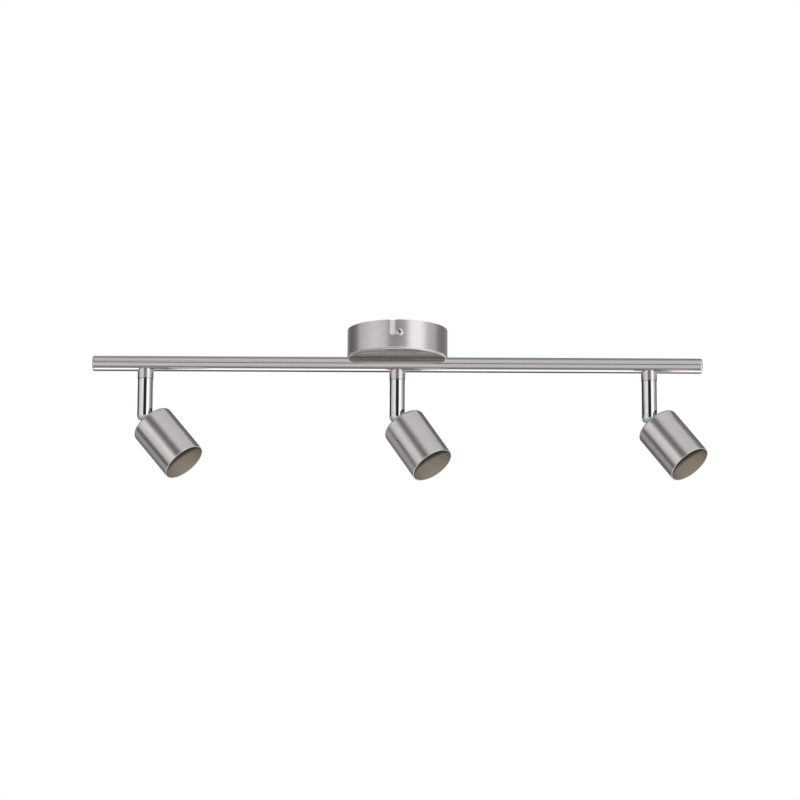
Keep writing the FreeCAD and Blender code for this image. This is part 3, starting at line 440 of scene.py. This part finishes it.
def zinc_plate():
    """Zinc electroplate on pressed steel: pale, faintly blue and clouded, with a soft sheen."""
    return finish("clouded_zinc_plate", finishes().zinc, metallic=0.75, roughness=0.5,
                  grain=(1.2, 1.2, 1.2), depth=0.004, tint=0.12)


def machined_brass():
    """Turned brass with fine tool marks: warm and bright, with a slightly broken shine."""
    return finish("machined_brass", finishes().brass, metallic=1.0, roughness=0.22,
                  grain=(0.5, 0.5, 0.5), depth=0.004, tint=0.1)


def steatite():
    """Pressed steatite, fired without glaze: chalky, with a fine tooth."""
    return finish("unglazed_steatite", finishes().ceramic, metallic=0.0, roughness=0.7,
                  grain=(0.5, 0.5, 0.5), depth=0.02)


def block_nylon():
    """Moulded natural nylon: milky white with a soft gloss."""
    return finish("moulded_nylon", finishes().nylon, metallic=0.0, roughness=0.42,
                  grain=(1.0, 1.0, 1.0), depth=0.01)


def sleeve_silicone():
    """Silicone-rubber sleeving: off-white and soft, where the woven glass beneath prints through."""
    return finish("silicone_sleeve", finishes().sleeve, metallic=0.0, roughness=0.5,
                  grain=(0.7, 0.7, 0.7), depth=0.03, tint=0.08)


def washer_nylon():
    """Black nylon stamped from sheet: dark, with a dull even gloss."""
    return finish("black_nylon_washer", finishes().washer, metallic=0.0, roughness=0.45,
                  grain=(0.8, 0.8, 0.8), depth=0.01)


# ---------------------------------------------------------------- canopy and its fixings

def canopy_mesh():
    """The canopy's pressed cup, before it is cut."""
    size = sizes()
    low, high = (Vector(corner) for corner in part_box("canopy"))
    radius, floor, wall, corner = high.x, low.z, size.sheet_wall, size.canopy_corner
    shell = lathe([
        (0, floor), (radius, floor), (radius, 0),
        (radius - wall, 0), (radius - wall, floor + wall), (0, floor + wall),
    ], closed=False, steps=192)
    soften(shell, corner, 8, lambda edge: on_ring(edge, radius, floor))
    soften(shell, corner - wall, 8, lambda edge: on_ring(edge, radius - wall, floor + wall))
    soften(shell, size.soft_edge, 2,
           lambda edge: on_ring(edge, radius, 0) or on_ring(edge, radius - wall, 0))
    return shell


def on_ring(edge, radius, height):
    """Whether both ends of an edge lie on a circle about Z."""
    return all(
        abs(math.hypot(*vert.co.xy) - radius) < NEARLY and abs(vert.co.z - height) < NEARLY
        for vert in edge.verts
    )


def slot_cutter(turn):
    """The L-shaped slot's leg and foot as closed shapes through the wall, turned about Z."""
    size = sizes()
    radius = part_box("canopy")[1][0]
    leg = size.screw_offset - size.slot_shift
    top, bottom = OVERCUT, -size.screw_drop - size.slot_foot / 2
    near, far = -radius * 1.1, -radius * 0.9
    shapes = [
        box((leg - size.slot_leg / 2, near, bottom), (leg + size.slot_leg / 2, far, top)),
        box((leg, near, bottom), (size.screw_offset, far, bottom + size.slot_foot)),
        cylinder(size.slot_foot / 2, far - near,
                 Matrix.Translation((size.screw_offset, -radius, -size.screw_drop)) @ ACROSS, 32),
    ]
    cutter = combine(shapes[0], shapes[1:], "UNION")
    bmesh.ops.rotate(cutter, cent=(0, 0, 0), matrix=Matrix.Rotation(turn, 3, "Z"), verts=cutter.verts)
    return cutter


class BAR_OT_canopy(bpy.types.Operator):
    """Model the canopy: a pressed cup with a rail trough and two L-shaped slots"""

    bl_idname = "bar.canopy"
    bl_label = "Canopy"

    def execute(self, context):
        size = sizes()
        low, high = (Vector(corner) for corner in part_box("canopy"))
        rail_radius, rail_middle = box_size("rail_tube").z / 2, box_middle("rail_tube")
        along = Matrix.Translation(rail_middle) @ ALONG_X
        bore = rail_radius + size.seat_gap
        trough = cylinder(bore + size.sheet_wall, 2 * high.x - 1.5 * size.sheet_wall, along)
        below = box((-high.x, -high.x, low.z - high.x), (high.x, high.x, low.z + size.sheet_wall / 2))
        shell = combine(canopy_mesh(), [combine(trough, [below])], "UNION")
        centre = box_middle("canopy").x
        holes = [
            cylinder(size.nipple / 2 + size.loose_gap, -2 * low.z, Matrix.Translation((x, 0, low.z)), 48)
            for x in (centre - size.hanger, centre + size.hanger)
        ]
        cutters = [cylinder(bore, 4 * high.x, along), slot_cutter(0), slot_cutter(math.pi), *holes]
        shell = combine(shell, cutters)
        # faces of the canopy's floor take the greyer nickel, which is painted shade
        for face in shell.faces:
            shaded_floor_face = face.calc_center_median().z < low.z + 0.1 * MM and face.normal.z < -0.99
            face.material_index = int(shaded_floor_face)
        piece("canopy_shell", shell, "fixture", [
            satin_nickel("canopy", dulled=1.35, depth=0.0002),
            shaded_floor_nickel(),
        ], ["canopy"])
        return {"FINISHED"}


def screw_mesh(head, height, shank, length):
    """A pan-head screw along +Z, its seat at z = 0, with a cross recess."""
    half = head / 2
    body = lathe([
        (0, -length), (shank * 0.3, -length), (shank / 2, -length + shank * 0.2), (shank / 2, 0), (half, 0),
        (half, height * 0.45), (half * 0.93, height * 0.7), (half * 0.72, height * 0.92),
        (half * 0.35, height), (0, height),
    ], closed=False, steps=48)
    arm, web, deep = half * 0.70, half * 0.12, height * 0.5
    cross = [
        box((-arm, -web, height - deep), (arm, web, height + deep)),
        box((-web, -arm, height - deep), (web, arm, height + deep)),
    ]
    return combine(body, cross)


class BAR_OT_canopy_screws(bpy.types.Operator):
    """Model the two cross-head screws that hold the canopy to its bracket"""

    bl_idname = "bar.canopy_screws"
    bl_label = "Canopy screws"

    def execute(self, context):
        size = sizes()
        canopy_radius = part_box("canopy")[1][0]
        screws = []
        for sign in (-1, 1):
            screw = screw_mesh(size.screw_head, size.screw_height, size.screw_shank, size.screw_length)
            out = canopy_radius + size.seat_gap
            seat = Vector((-sign * size.screw_offset, sign * out, -size.screw_drop))
            tilt = Matrix.Rotation(-sign * math.pi / 2, 4, "X") @ Matrix.Rotation(SCREW_TURN, 4, "Z")
            bmesh.ops.transform(screw, matrix=Matrix.Translation(seat) @ tilt, verts=screw.verts)
            screws.append(screw)
        piece("canopy_screw_pair", merged(screws), "fixture", [chrome_plate()], ["canopy_screws"])
        return {"FINISHED"}


# ---------------------------------------------------------------- rail, caps and collars

class BAR_OT_rail(bpy.types.Operator):
    """Model the rail tube and its two domed end caps"""

    bl_idname = "bar.rail"
    bl_label = "Rail and caps"

    def execute(self, context):
        size = sizes()
        extent, middle = box_size("rail_tube"), box_middle("rail_tube")
        radius, half = extent.z / 2, extent.x / 2
        bore = radius - size.tube_wall
        rings = [(radius, half - step * (2 * half / RAIL_RINGS)) for step in range(RAIL_RINGS + 1)]
        tube = lathe([*rings, (bore, -half), (bore, half)], steps=128)
        soften(tube, size.soft_edge / 2, 2)
        piece("rail_tube_satin", tube, "fixture",
              [satin_nickel("rail", along=(0.35, 12.0, 12.0), dulled=0.6)], ["rail_tube"],
              Matrix.Translation(middle) @ ALONG_X)
        height = box_size("end_cap_right").x - size.cap_plug
        plug, skin = bore - size.press_gap, size.cap_skin
        for side, turn in (("left", math.pi), ("right", 0)):
            edge_radius = radius - size.cap_edge
            edge_height = size.cap_lip + size.cap_edge
            crown = height - edge_height
            dome = (edge_radius ** 2 + crown ** 2) / (2 * crown)
            rounded = [
                (edge_radius + size.cap_edge * math.cos(angle),
                 size.cap_lip + size.cap_edge * math.sin(angle))
                for angle in (math.radians(degrees) for degrees in range(0, 91, 10))
            ]
            domed = [
                (out, height - dome + math.sqrt(dome ** 2 - out ** 2))
                for out in (edge_radius * part for part in (0.8, 0.6, 0.4, 0.2, 0.0))
            ]
            cap = lathe([
                (0, skin), (plug - skin, skin), (plug - skin, -size.cap_plug), (plug, -size.cap_plug),
                (plug, 0), (radius, 0), *rounded, *domed,
            ], closed=False, steps=128)
            place = Matrix.Translation(middle) @ Matrix.Rotation(turn, 4, "Z")
            place = place @ Matrix.Translation((half, 0, 0)) @ ALONG_X
            piece(f"end_cap_{side}_chrome", cap, "fixture", [chrome_plate()], [f"end_cap_{side}"], place)
        return {"FINISHED"}


class BAR_OT_collars(bpy.types.Operator):
    """Model the saddled collar over each stem"""

    bl_idname = "bar.collars"
    bl_label = "Collars"

    def execute(self, context):
        size = sizes()
        rail_radius, rail_middle = box_size("rail_tube").z / 2, box_middle("rail_tube")
        for side in SIDES:
            low, high = (Vector(corner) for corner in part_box(f"collar_{side}"))
            radius = (high.x - low.x) / 2
            saddle = (radius ** 2 + size.collar_rise ** 2) / (2 * size.collar_rise)
            bore = size.nipple / 2 + size.loose_gap
            sleeve = lathe([(bore, low.z), (radius, low.z), (radius, rail_middle.z), (bore, rail_middle.z)])
            saddle_axis = Matrix.Translation((0, 0, rail_middle.z - rail_radius + saddle)) @ ALONG_X
            sleeve = combine(sleeve, [cylinder(saddle, 4 * radius, saddle_axis, 256)])
            soften(sleeve, size.soft_edge, 2)
            foot, outside = low.z + size.boss_lift, bore + size.boss_wall
            boss = lathe([(bore, foot), (outside, foot), (outside, rail_middle.z), (bore, rail_middle.z)],
                         steps=64)
            along_rail = Matrix.Translation((0, 0, rail_middle.z)) @ ALONG_X
            boss = combine(boss, [cylinder(rail_radius + size.seat_gap, 4 * radius, along_rail, 192)])
            centre = Matrix.Translation(((low.x + high.x) / 2, 0, 0))
            piece(f"collar_{side}_satin", combine(sleeve, [boss], "UNION"), "fixture",
                  [satin_nickel("collar")], [f"collar_{side}"], centre)
        return {"FINISHED"}


# ---------------------------------------------------------------- stems and tilt joints

class BAR_OT_stems(bpy.types.Operator):
    """Model each chromed stem with its forked round end, and its tilt pin"""

    bl_idname = "bar.stems"
    bl_label = "Stems"

    def execute(self, context):
        size = sizes()
        for side in SIDES:
            place = stem_place(side)
            low, high = (Vector(corner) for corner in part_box(f"stem_{side}"))
            pin_radius = box_size(f"tilt_pin_{side}").z / 2
            top = high.z - place.translation.z
            radius = (high.x - low.x) / 2
            bore = radius - size.stem_wall
            roof = size.fork_room + size.fork_roof
            corner = size.stem_corner
            rounded = [
                (radius - corner + corner * math.sin(angle),
                 corner - size.stem_end - corner * math.cos(angle))
                for angle in (math.radians(degrees) for degrees in range(0, 91, 6))
            ]
            body = lathe([
                (0, -size.stem_end), *rounded, (radius, top), (bore, top), (bore, roof), (0, roof),
            ], closed=False)
            soften(body, size.soft_edge, 2, lambda edge: on_ring(edge, radius, top))
            half, arch = size.fork_slot / 2, size.fork_mouth / 2
            spring = size.fork_room - arch
            far = 2 * radius
            slot = box((-far, -half, -far), (far, half, size.fork_room))
            mouth = box((size.fork_cheek, -arch, -far), (far, arch, spring))
            vault_place = Matrix.Translation(((far + size.fork_cheek) / 2, 0, spring)) @ ALONG_X
            vault = cylinder(arch, far - size.fork_cheek, vault_place, 64)
            hole = cylinder(pin_radius + size.press_gap, 4 * radius, ACROSS, 48)
            body = combine(body, [slot, mouth, vault, hole])
            piece(f"stem_{side}_chrome", body, f"stem_{side}_arm", [chrome_plate()], [f"stem_{side}"], place)
            reach = math.sqrt(radius ** 2 - pin_radius ** 2) - size.seat_gap
            pin = cylinder(pin_radius, 2 * reach, ACROSS, 48)
            soften(pin, 1.5 * size.soft_edge, 3)
            piece(f"tilt_pin_{side}_chrome", pin, f"stem_{side}_arm", [chrome_plate()],
                  [f"tilt_pin_{side}"], place)
        return {"FINISHED"}


class BAR_OT_lugs(bpy.types.Operator):
    """Model the hinge lug of each head: tongue, disc and threaded shank"""

    bl_idname = "bar.lugs"
    bl_label = "Hinge lugs"

    def execute(self, context):
        size = sizes()
        for side in SIDES:
            half, gauge = size.tongue_width / 2, size.tongue_gauge / 2
            disc_end = size.neck - size.seat_gap
            disc_start = size.neck - size.lug_disc_height - size.seat_gap
            pin_radius = box_size(f"tilt_pin_{side}").z / 2
            tongue = cylinder(half, 2 * gauge, ACROSS, 64)
            tongue = combine(tongue, [box((0, -gauge, -half), (disc_start + OVERLAP, gauge, half))], "UNION")
            soften(tongue, 2 * size.soft_edge, 3)
            shank_end = size.neck + size.shank
            disc = lathe([
                (0, disc_start), (size.lug_disc / 2, disc_start), (size.lug_disc / 2, disc_end),
                (size.nipple / 2, disc_end), (size.nipple / 2, shank_end), (0, shank_end),
            ], closed=False, steps=64)
            soften(disc, size.cup_lip, 3, lambda edge: on_ring(edge, size.lug_disc / 2, disc_start))
            bmesh.ops.transform(disc, matrix=ALONG_X, verts=disc.verts)
            lug = combine(tongue, [disc], "UNION")
            cross = pin_radius + half + size.side_bore_shift
            into_shank = Matrix.Translation((shank_end, 0, 0)) @ ALONG_X
            bores = [
                cylinder(pin_radius + size.running_gap, 4 * half, ACROSS, 48),
                cylinder(size.side_bore / 2, 4 * half, Matrix.Translation((cross, 0, 0)), 32),
                cylinder(size.lug_bore / 2, 2 * (shank_end - cross), into_shank, 32),
            ]
            piece(f"hinge_lug_{side}_cast", combine(lug, bores), f"head_{side}", [chrome_plate()],
                  [f"hinge_lug_{side}"], head_place(side))
        return {"FINISHED"}


# ---------------------------------------------------------------- heads

class BAR_OT_head_shells(bpy.types.Operator):
    """Model each cup, satin outside and dull inside"""

    bl_idname = "bar.head_shells"
    bl_label = "Head shells"

    def execute(self, context):
        size = sizes()
        for side in SIDES:
            radius = size.cup_diameter / 2
            mouth = size.neck + size.cup_length
            step = mouth - size.lamp_depth
            front, back = radius - size.cup_wall, radius - size.cup_back_wall
            hole = size.nipple / 2 + size.loose_gap
            floor = size.neck + size.cup_wall
            outer = [(radius, size.neck + (mouth - size.neck) * ring / 12) for ring in range(13)]
            inner = [(front, mouth + (step - mouth) * ring / 8) for ring in range(9)]
            cup = lathe([
                (hole, size.neck), *outer, *inner, (back, step), (back, floor), (hole, floor),
            ], steps=160)
            soften(cup, size.cup_corner, 8, lambda edge: on_ring(edge, radius, size.neck))
            soften(cup, size.cup_corner - size.cup_wall, 6, lambda edge: on_ring(edge, back, floor))
            soften(cup, size.cup_lip, 3, lambda edge: on_ring(edge, radius, mouth))
            soften(cup, size.cup_inner_lip, 2, lambda edge: on_ring(edge, front, mouth))
            for face in cup.faces:
                centre = face.calc_center_median()
                within = size.neck + size.cup_wall / 2 < centre.z < mouth - 2 * size.cup_inner_lip
                face.material_index = int(within and math.hypot(*centre.xy) < front + 2 * NEARLY)
            piece(f"head_shell_{side}_cup", cup, f"head_{side}",
                  [satin_nickel(f"cup_{side}", head_place(side), (0.35, 12.0, 12.0)), cup_lining()],
                  [f"head_shell_{side}"], head_place(side) @ ALONG_X)
        return {"FINISHED"}


class BAR_OT_lampholders(bpy.types.Operator):
    """Model each ceramic lampholder, the plate that carries it and its screws"""

    bl_idname = "bar.lampholders"
    bl_label = "Lampholders"

    def execute(self, context):
        size = sizes()
        for side in SIDES:
            place = head_place(side) @ ALONG_X
            step = size.neck + size.cup_length - size.lamp_depth
            plate_top = step - size.plate_inset
            rim = size.cup_diameter / 2 - size.cup_back_wall - size.seat_gap
            gauge, boss, body = size.plate_gauge, size.holder_boss / 2, size.holder / 2
            hole, inner_rim, skirt_foot = boss + size.loose_gap, rim - gauge, plate_top - size.plate_skirt
            plate = lathe([
                (hole, plate_top), (rim, plate_top), (rim, skirt_foot), (inner_rim, skirt_foot),
                (inner_rim, plate_top - gauge), (hole, plate_top - gauge),
            ])
            soften(plate, gauge / 2, 3, lambda edge: on_ring(edge, rim, plate_top))
            piece(f"holder_plate_{side}_pan", plate, f"head_{side}", [zinc_plate()],
                  [f"holder_plate_{side}"], place)
            shoulder = plate_top - gauge - size.seat_gap
            front = step - size.loose_gap
            back = shoulder - size.holder_height
            holder = lathe([
                (0, back), (body, back), (body, shoulder), (boss, shoulder), (boss, front), (0, front),
            ], closed=False, steps=96)
            soften(holder, 2 * size.soft_edge, 3)
            keyholes = [
                cylinder(size.keyhole / 2, 2 * size.keyhole_depth,
                         Matrix.Translation((sign * size.holder_pins / 2, 0, front)), 48)
                for sign in (-1, 1)
            ]
            piece(f"lampholder_{side}_ceramic", combine(holder, keyholes), f"head_{side}", [steatite()],
                  [f"lampholder_{side}"], place)
            screws = []
            for sign in (-1, 1):
                screw = screw_mesh(size.holder_screw_head, size.holder_screw_height, size.holder_screw,
                                   size.screw_length)
                seat = Vector((0, sign * size.holder_screws / 2, plate_top + size.seat_gap))
                bmesh.ops.translate(screw, vec=seat, verts=screw.verts)
                screws.append(screw)
            piece(f"holder_screws_{side}_pan", merged(screws), f"head_{side}", [zinc_plate()],
                  [f"holder_screws_{side}"], place)
        return {"FINISHED"}


# ---------------------------------------------------------------- hidden hardware

class BAR_OT_hardware(bpy.types.Operator):
    """Give every piece kept from the frame its real finish"""

    bl_idname = "bar.hardware"
    bl_label = "Hardware finishes"

    def execute(self, context):
        kinds = {
            "wiring_block": block_nylon, "wiring_clamps": machined_brass, "earth_screw": machined_brass,
            "rail_leads": sleeve_silicone, "stem_lead": sleeve_silicone, "lamp_leads": sleeve_silicone,
            "holder_contacts": machined_brass, "swivel_nipples": machined_brass,
            "swivel_bush": machined_brass, "friction_washers": washer_nylon,
        }
        for name, node in frame["nodes"].items():
            maker = next((maker for start, maker in kinds.items() if name.startswith(start)), zinc_plate)
            node.data.materials.clear()
            node.data.materials.append(maker())
        return {"FINISHED"}


# ---------------------------------------------------------------- stage

# Brightness of the studio round the fixture.  Each row is an elevation in degrees and the stops
# round it: azimuth, from -180 to 180 with 0 in front and 90 at the right, and brightness.  It is
# laid out as a studio is: a lit table below, a strip and two flags at the left, a large panel in
# front with a dark gap in it, a bright box right of that, and a dim room above and behind.
DARK_GAP = (
    (-180, 0.32), (-150, 0.32), (-142, 0.03), (-106, 0.03), (-98, 0.58), (-70, 0.68), (-50, 0.88),
    (-24, 0.80), (-18, 0.02), (21, 0.02), (28, 1.15), (64, 1.15), (70, 0.52), (98, 0.48), (106, 0.16),
    (140, 0.20), (150, 0.35), (180, 0.15),
)
STUDIO = (
    (-90, ((-180, 1.50), (180, 1.50))),
    (-84, ((-180, 1.45), (-120, 1.45), (-60, 1.00), (60, 1.00), (120, 1.45), (180, 1.45))),
    (-76, ((-180, 1.45), (-130, 1.40), (-70, 0.30), (20, 0.25), (60, 0.60), (120, 1.40), (180, 1.45))),
    (-66, ((-180, 1.00), (-130, 1.10), (-70, 0.22), (12, 0.16), (60, 0.70), (120, 1.20), (180, 1.00))),
    (-57, ((-180, 0.08), (-130, 0.50), (-70, 0.25), (12, 0.20), (30, 0.80), (110, 0.85), (150, 0.80),
           (180, 0.08))),
    (-44, ((-180, 0.06), (-160, 0.20), (-130, 0.30), (-70, 0.45), (12, 0.48), (25, 0.95), (110, 0.95),
           (130, 0.70), (160, 0.50), (180, 0.06))),
    (-26, ((-180, 0.06), (-160, 0.12), (-120, 0.35), (-70, 0.60), (10, 0.66), (25, 1.00), (105, 0.95),
           (115, 0.30), (135, 0.90), (162, 0.90), (172, 0.06), (180, 0.06))),
    (-13, ((-180, 0.06), (-140, 0.12), (-130, 0.34), (-106, 0.34), (-101, 0.03), (-86, 0.03), (-76, 0.60),
           (-20, 0.66), (-12, 0.62), (14, 0.62), (25, 1.10), (60, 1.10), (70, 0.60), (100, 0.50), (110, 0.20),
           (140, 0.50), (180, 0.06))),
    (6, ((-180, 0.25), (-150, 0.32), (-134, 0.48), (-100, 0.48), (-88, 0.56), (-50, 0.84), (-25, 0.80),
         (-14, 0.50), (14, 0.50), (27, 1.15), (60, 1.15), (66, 0.52), (98, 0.48), (106, 0.16), (140, 0.20),
         (150, 0.40), (180, 0.15))),
    (9, DARK_GAP),
    (14, DARK_GAP),
    (18, ((-180, 0.25), (-150, 0.32), (-120, 0.45), (-90, 0.50), (-70, 0.60), (-48, 0.58), (-40, 0.36),
          (-18, 0.36), (-8, 0.58), (20, 0.60), (27, 1.10), (60, 1.10), (68, 0.52), (98, 0.48), (110, 0.20),
          (180, 0.12))),
    (27, ((-180, 0.12), (-110, 0.20), (-70, 0.52), (-54, 0.48), (-46, 0.14), (-14, 0.14), (-6, 0.56),
          (20, 0.58), (30, 0.90), (60, 0.90), (70, 0.58), (98, 0.52), (115, 0.20), (180, 0.12))),
    (38, ((-180, 0.12), (-110, 0.25), (-60, 0.52), (-50, 0.47), (-42, 0.14), (-12, 0.14), (-2, 0.58),
          (30, 0.70), (60, 0.70), (98, 0.56), (115, 0.20), (180, 0.12))),
    (47, ((-180, 0.30), (-110, 0.30), (-50, 0.52), (-10, 0.62), (98, 0.60), (118, 0.20), (180, 0.20))),
    (66, ((-180, 0.35), (-60, 0.40), (-10, 0.65), (105, 0.60), (130, 0.25), (180, 0.30))),
    (90, ((-180, 0.28), (180, 0.28))),
)

CAMERA_DISTANCE = 4.0  # metres from the target, for the key light too
CAMERA_RISE = math.radians(-12)  # below the target, looking up
CAMERA_ROLL = math.radians(0.27)
HALF_VIEW = math.radians(7.1)  # half the angle that the camera takes in
SENSOR = 36  # millimetres, as the lens is
TARGET = Vector((3.5 * MM, 0, -88.4 * MM))
KEY_RISE = math.radians(-6)
KEY_SIZE = 0.30  # metres across
KEY_POWER = 140  # watts
FLOOR_DROP = 1.3  # metres from the ceiling to the floor
FLOOR_SIZE = 9  # metres
PAPER = "#F4F4F2"
PAPER_GLOW = 0.45


def ring_of_light(tree, azimuth, stops):
    """Brightness all round at one elevation."""
    node = add_node(tree, "ShaderNodeValToRGB", {"Fac": azimuth})
    elements = node.color_ramp.elements
    elements.remove(elements[1])
    for index, (degrees, brightness) in enumerate(stops):
        position = (degrees + 180) / 360
        element = elements[0] if index == 0 else elements.new(position)
        element.position = position
        element.color = (brightness, brightness, brightness, 1.0)
    return node.outputs["Color"]


def studio_world():
    """Panels, flags and a lit table, as the brightness of each direction; the lens sees plain white."""
    world = bpy.data.worlds.new("studio")
    bpy.context.scene.world = world
    world.use_nodes = True
    tree = world.node_tree
    tree.nodes.clear()
    direction = add_node(tree, "ShaderNodeTexCoord").outputs["Generated"]
    parts = add_node(tree, "ShaderNodeSeparateXYZ", {"Vector": direction}).outputs
    toward = add_node(tree, "ShaderNodeMath", {0: parts["Y"], 1: -1.0}, operation="MULTIPLY").outputs[0]
    turn = add_node(tree, "ShaderNodeMath", {0: parts["X"], 1: toward}, operation="ARCTAN2").outputs[0]
    azimuth = add_node(tree, "ShaderNodeMapRange", {
        "Value": turn, "From Min": -math.pi, "From Max": math.pi}).outputs["Result"]
    height = add_node(tree, "ShaderNodeMath", {0: parts["Z"]}, operation="ARCSINE").outputs[0]
    elevation = add_node(tree, "ShaderNodeMath", {0: height}, operation="DEGREES").outputs[0]
    light = ring_of_light(tree, azimuth, STUDIO[0][1])
    for (below, _), (level, stops) in zip(STUDIO, STUDIO[1:]):
        rise = add_node(tree, "ShaderNodeMapRange", {
            "Value": elevation, "From Min": below, "From Max": level}).outputs["Result"]
        light = mix(tree, rise, light, ring_of_light(tree, azimuth, stops))
    seen = add_node(tree, "ShaderNodeLightPath").outputs["Is Camera Ray"]
    shown = mix(tree, seen, light, (1.0, 1.0, 1.0, 1.0))
    background = add_node(tree, "ShaderNodeBackground", {"Color": shown})
    add_node(tree, "ShaderNodeOutputWorld", {"Surface": background.outputs["Background"]})


def floor_paper():
    """Matt white paper, lit evenly from within so that it stays pale; its underside is open."""
    material = finish("pale_floor_paper", PAPER, metallic=0.0, roughness=0.8, grain=(4.0, 4.0, 4.0),
                      depth=0.01, tint=0.01)
    tree = material.node_tree
    shader = next(node for node in tree.nodes if node.type == "BSDF_PRINCIPLED")
    shader.inputs["Emission Color"].default_value = linear(PAPER)
    shader.inputs["Emission Strength"].default_value = PAPER_GLOW
    output = next(node for node in tree.nodes if node.type == "OUTPUT_MATERIAL")
    under = add_node(tree, "ShaderNodeNewGeometry").outputs["Backfacing"]
    clear = add_node(tree, "ShaderNodeBsdfTransparent").outputs["BSDF"]
    open_below = add_node(tree, "ShaderNodeMixShader", {0: under, 1: shader.outputs["BSDF"], 2: clear})
    tree.links.new(open_below.outputs["Shader"], output.inputs["Surface"])
    return material


class BAR_OT_stage(bpy.types.Operator):
    """Set up the camera, the pale floor and the studio light"""

    bl_idname = "bar.stage"
    bl_label = "Stage"

    def execute(self, context):
        scene = context.scene
        scene.view_settings.view_transform = "Standard"
        camera = bpy.data.objects.new("camera", bpy.data.cameras.new("camera"))
        scene.collection.objects.link(camera)
        camera.data.sensor_width = SENSOR
        camera.data.lens = SENSOR / 2 / math.tan(HALF_VIEW)
        back = Vector((0, -math.cos(CAMERA_RISE), math.sin(CAMERA_RISE)))
        camera.location = TARGET + back * CAMERA_DISTANCE
        look = (-back).to_track_quat("-Z", "Y").to_matrix().to_4x4() @ Matrix.Rotation(CAMERA_ROLL, 4, "Z")
        camera.rotation_euler = look.to_euler()
        scene.camera = camera
        studio_world()
        key = bpy.data.objects.new("key_light", bpy.data.lights.new("key_light", "AREA"))
        scene.collection.objects.link(key)
        key.data.shape = "DISK"
        key.data.size = KEY_SIZE
        key.data.energy = KEY_POWER
        toward_key = Vector((0, -math.cos(KEY_RISE), math.sin(KEY_RISE)))
        key.location = TARGET + toward_key * CAMERA_DISTANCE
        key.rotation_euler = toward_key.to_track_quat("Z", "Y").to_euler()
        key.visible_glossy = False
        key.visible_camera = False
        floor_mesh = bmesh.new()
        bmesh.ops.create_grid(floor_mesh, x_segments=1, y_segments=1, size=FLOOR_SIZE)
        bmesh.ops.translate(floor_mesh, vec=(0, 0, -FLOOR_DROP), verts=floor_mesh.verts)
        data = bpy.data.meshes.new("floor")
        floor_mesh.to_mesh(data)
        floor_mesh.free()
        floor = bpy.data.objects.new("floor", data)
        scene.collection.objects.link(floor)
        data.materials.append(floor_paper())
        floor.visible_glossy = False
        floor.visible_diffuse = False
        return {"FINISHED"}


# ---------------------------------------------------------------- panel, registration and making

PIECE_OPERATORS = (
    BAR_OT_hardware, BAR_OT_canopy, BAR_OT_canopy_screws, BAR_OT_rail, BAR_OT_collars, BAR_OT_stems,
    BAR_OT_lugs, BAR_OT_head_shells, BAR_OT_lampholders, BAR_OT_stage,
)


class BAR_PT_panel(bpy.types.Panel):
    """Buttons for every piece of the fixture"""

    bl_label = "Spotlight Bar"
    bl_space_type = "VIEW_3D"
    bl_region_type = "UI"
    bl_category = "Spotlight Bar"

    def draw(self, context):
        for operator in PIECE_OPERATORS:
            self.layout.operator(operator.bl_idname)
        for group in (context.scene.bar_sizes, context.scene.bar_finishes):
            for name in group.__annotations__:
                self.layout.prop(group, name)


CLASSES = (BarSizes, BarFinishes, *PIECE_OPERATORS, BAR_PT_panel)


def register():
    for item in CLASSES:
        bpy.utils.register_class(item)
    bpy.types.Scene.bar_sizes = PointerProperty(type=BarSizes)
    bpy.types.Scene.bar_finishes = PointerProperty(type=BarFinishes)


def unregister():
    del bpy.types.Scene.bar_finishes
    del bpy.types.Scene.bar_sizes
    for item in reversed(CLASSES):
        bpy.utils.unregister_class(item)


def main():
    register()
    for operator in PIECE_OPERATORS:
        section, name = operator.bl_idname.split(".")
        getattr(getattr(bpy.ops, section), name)()


if __name__ == "__main__":
    main()
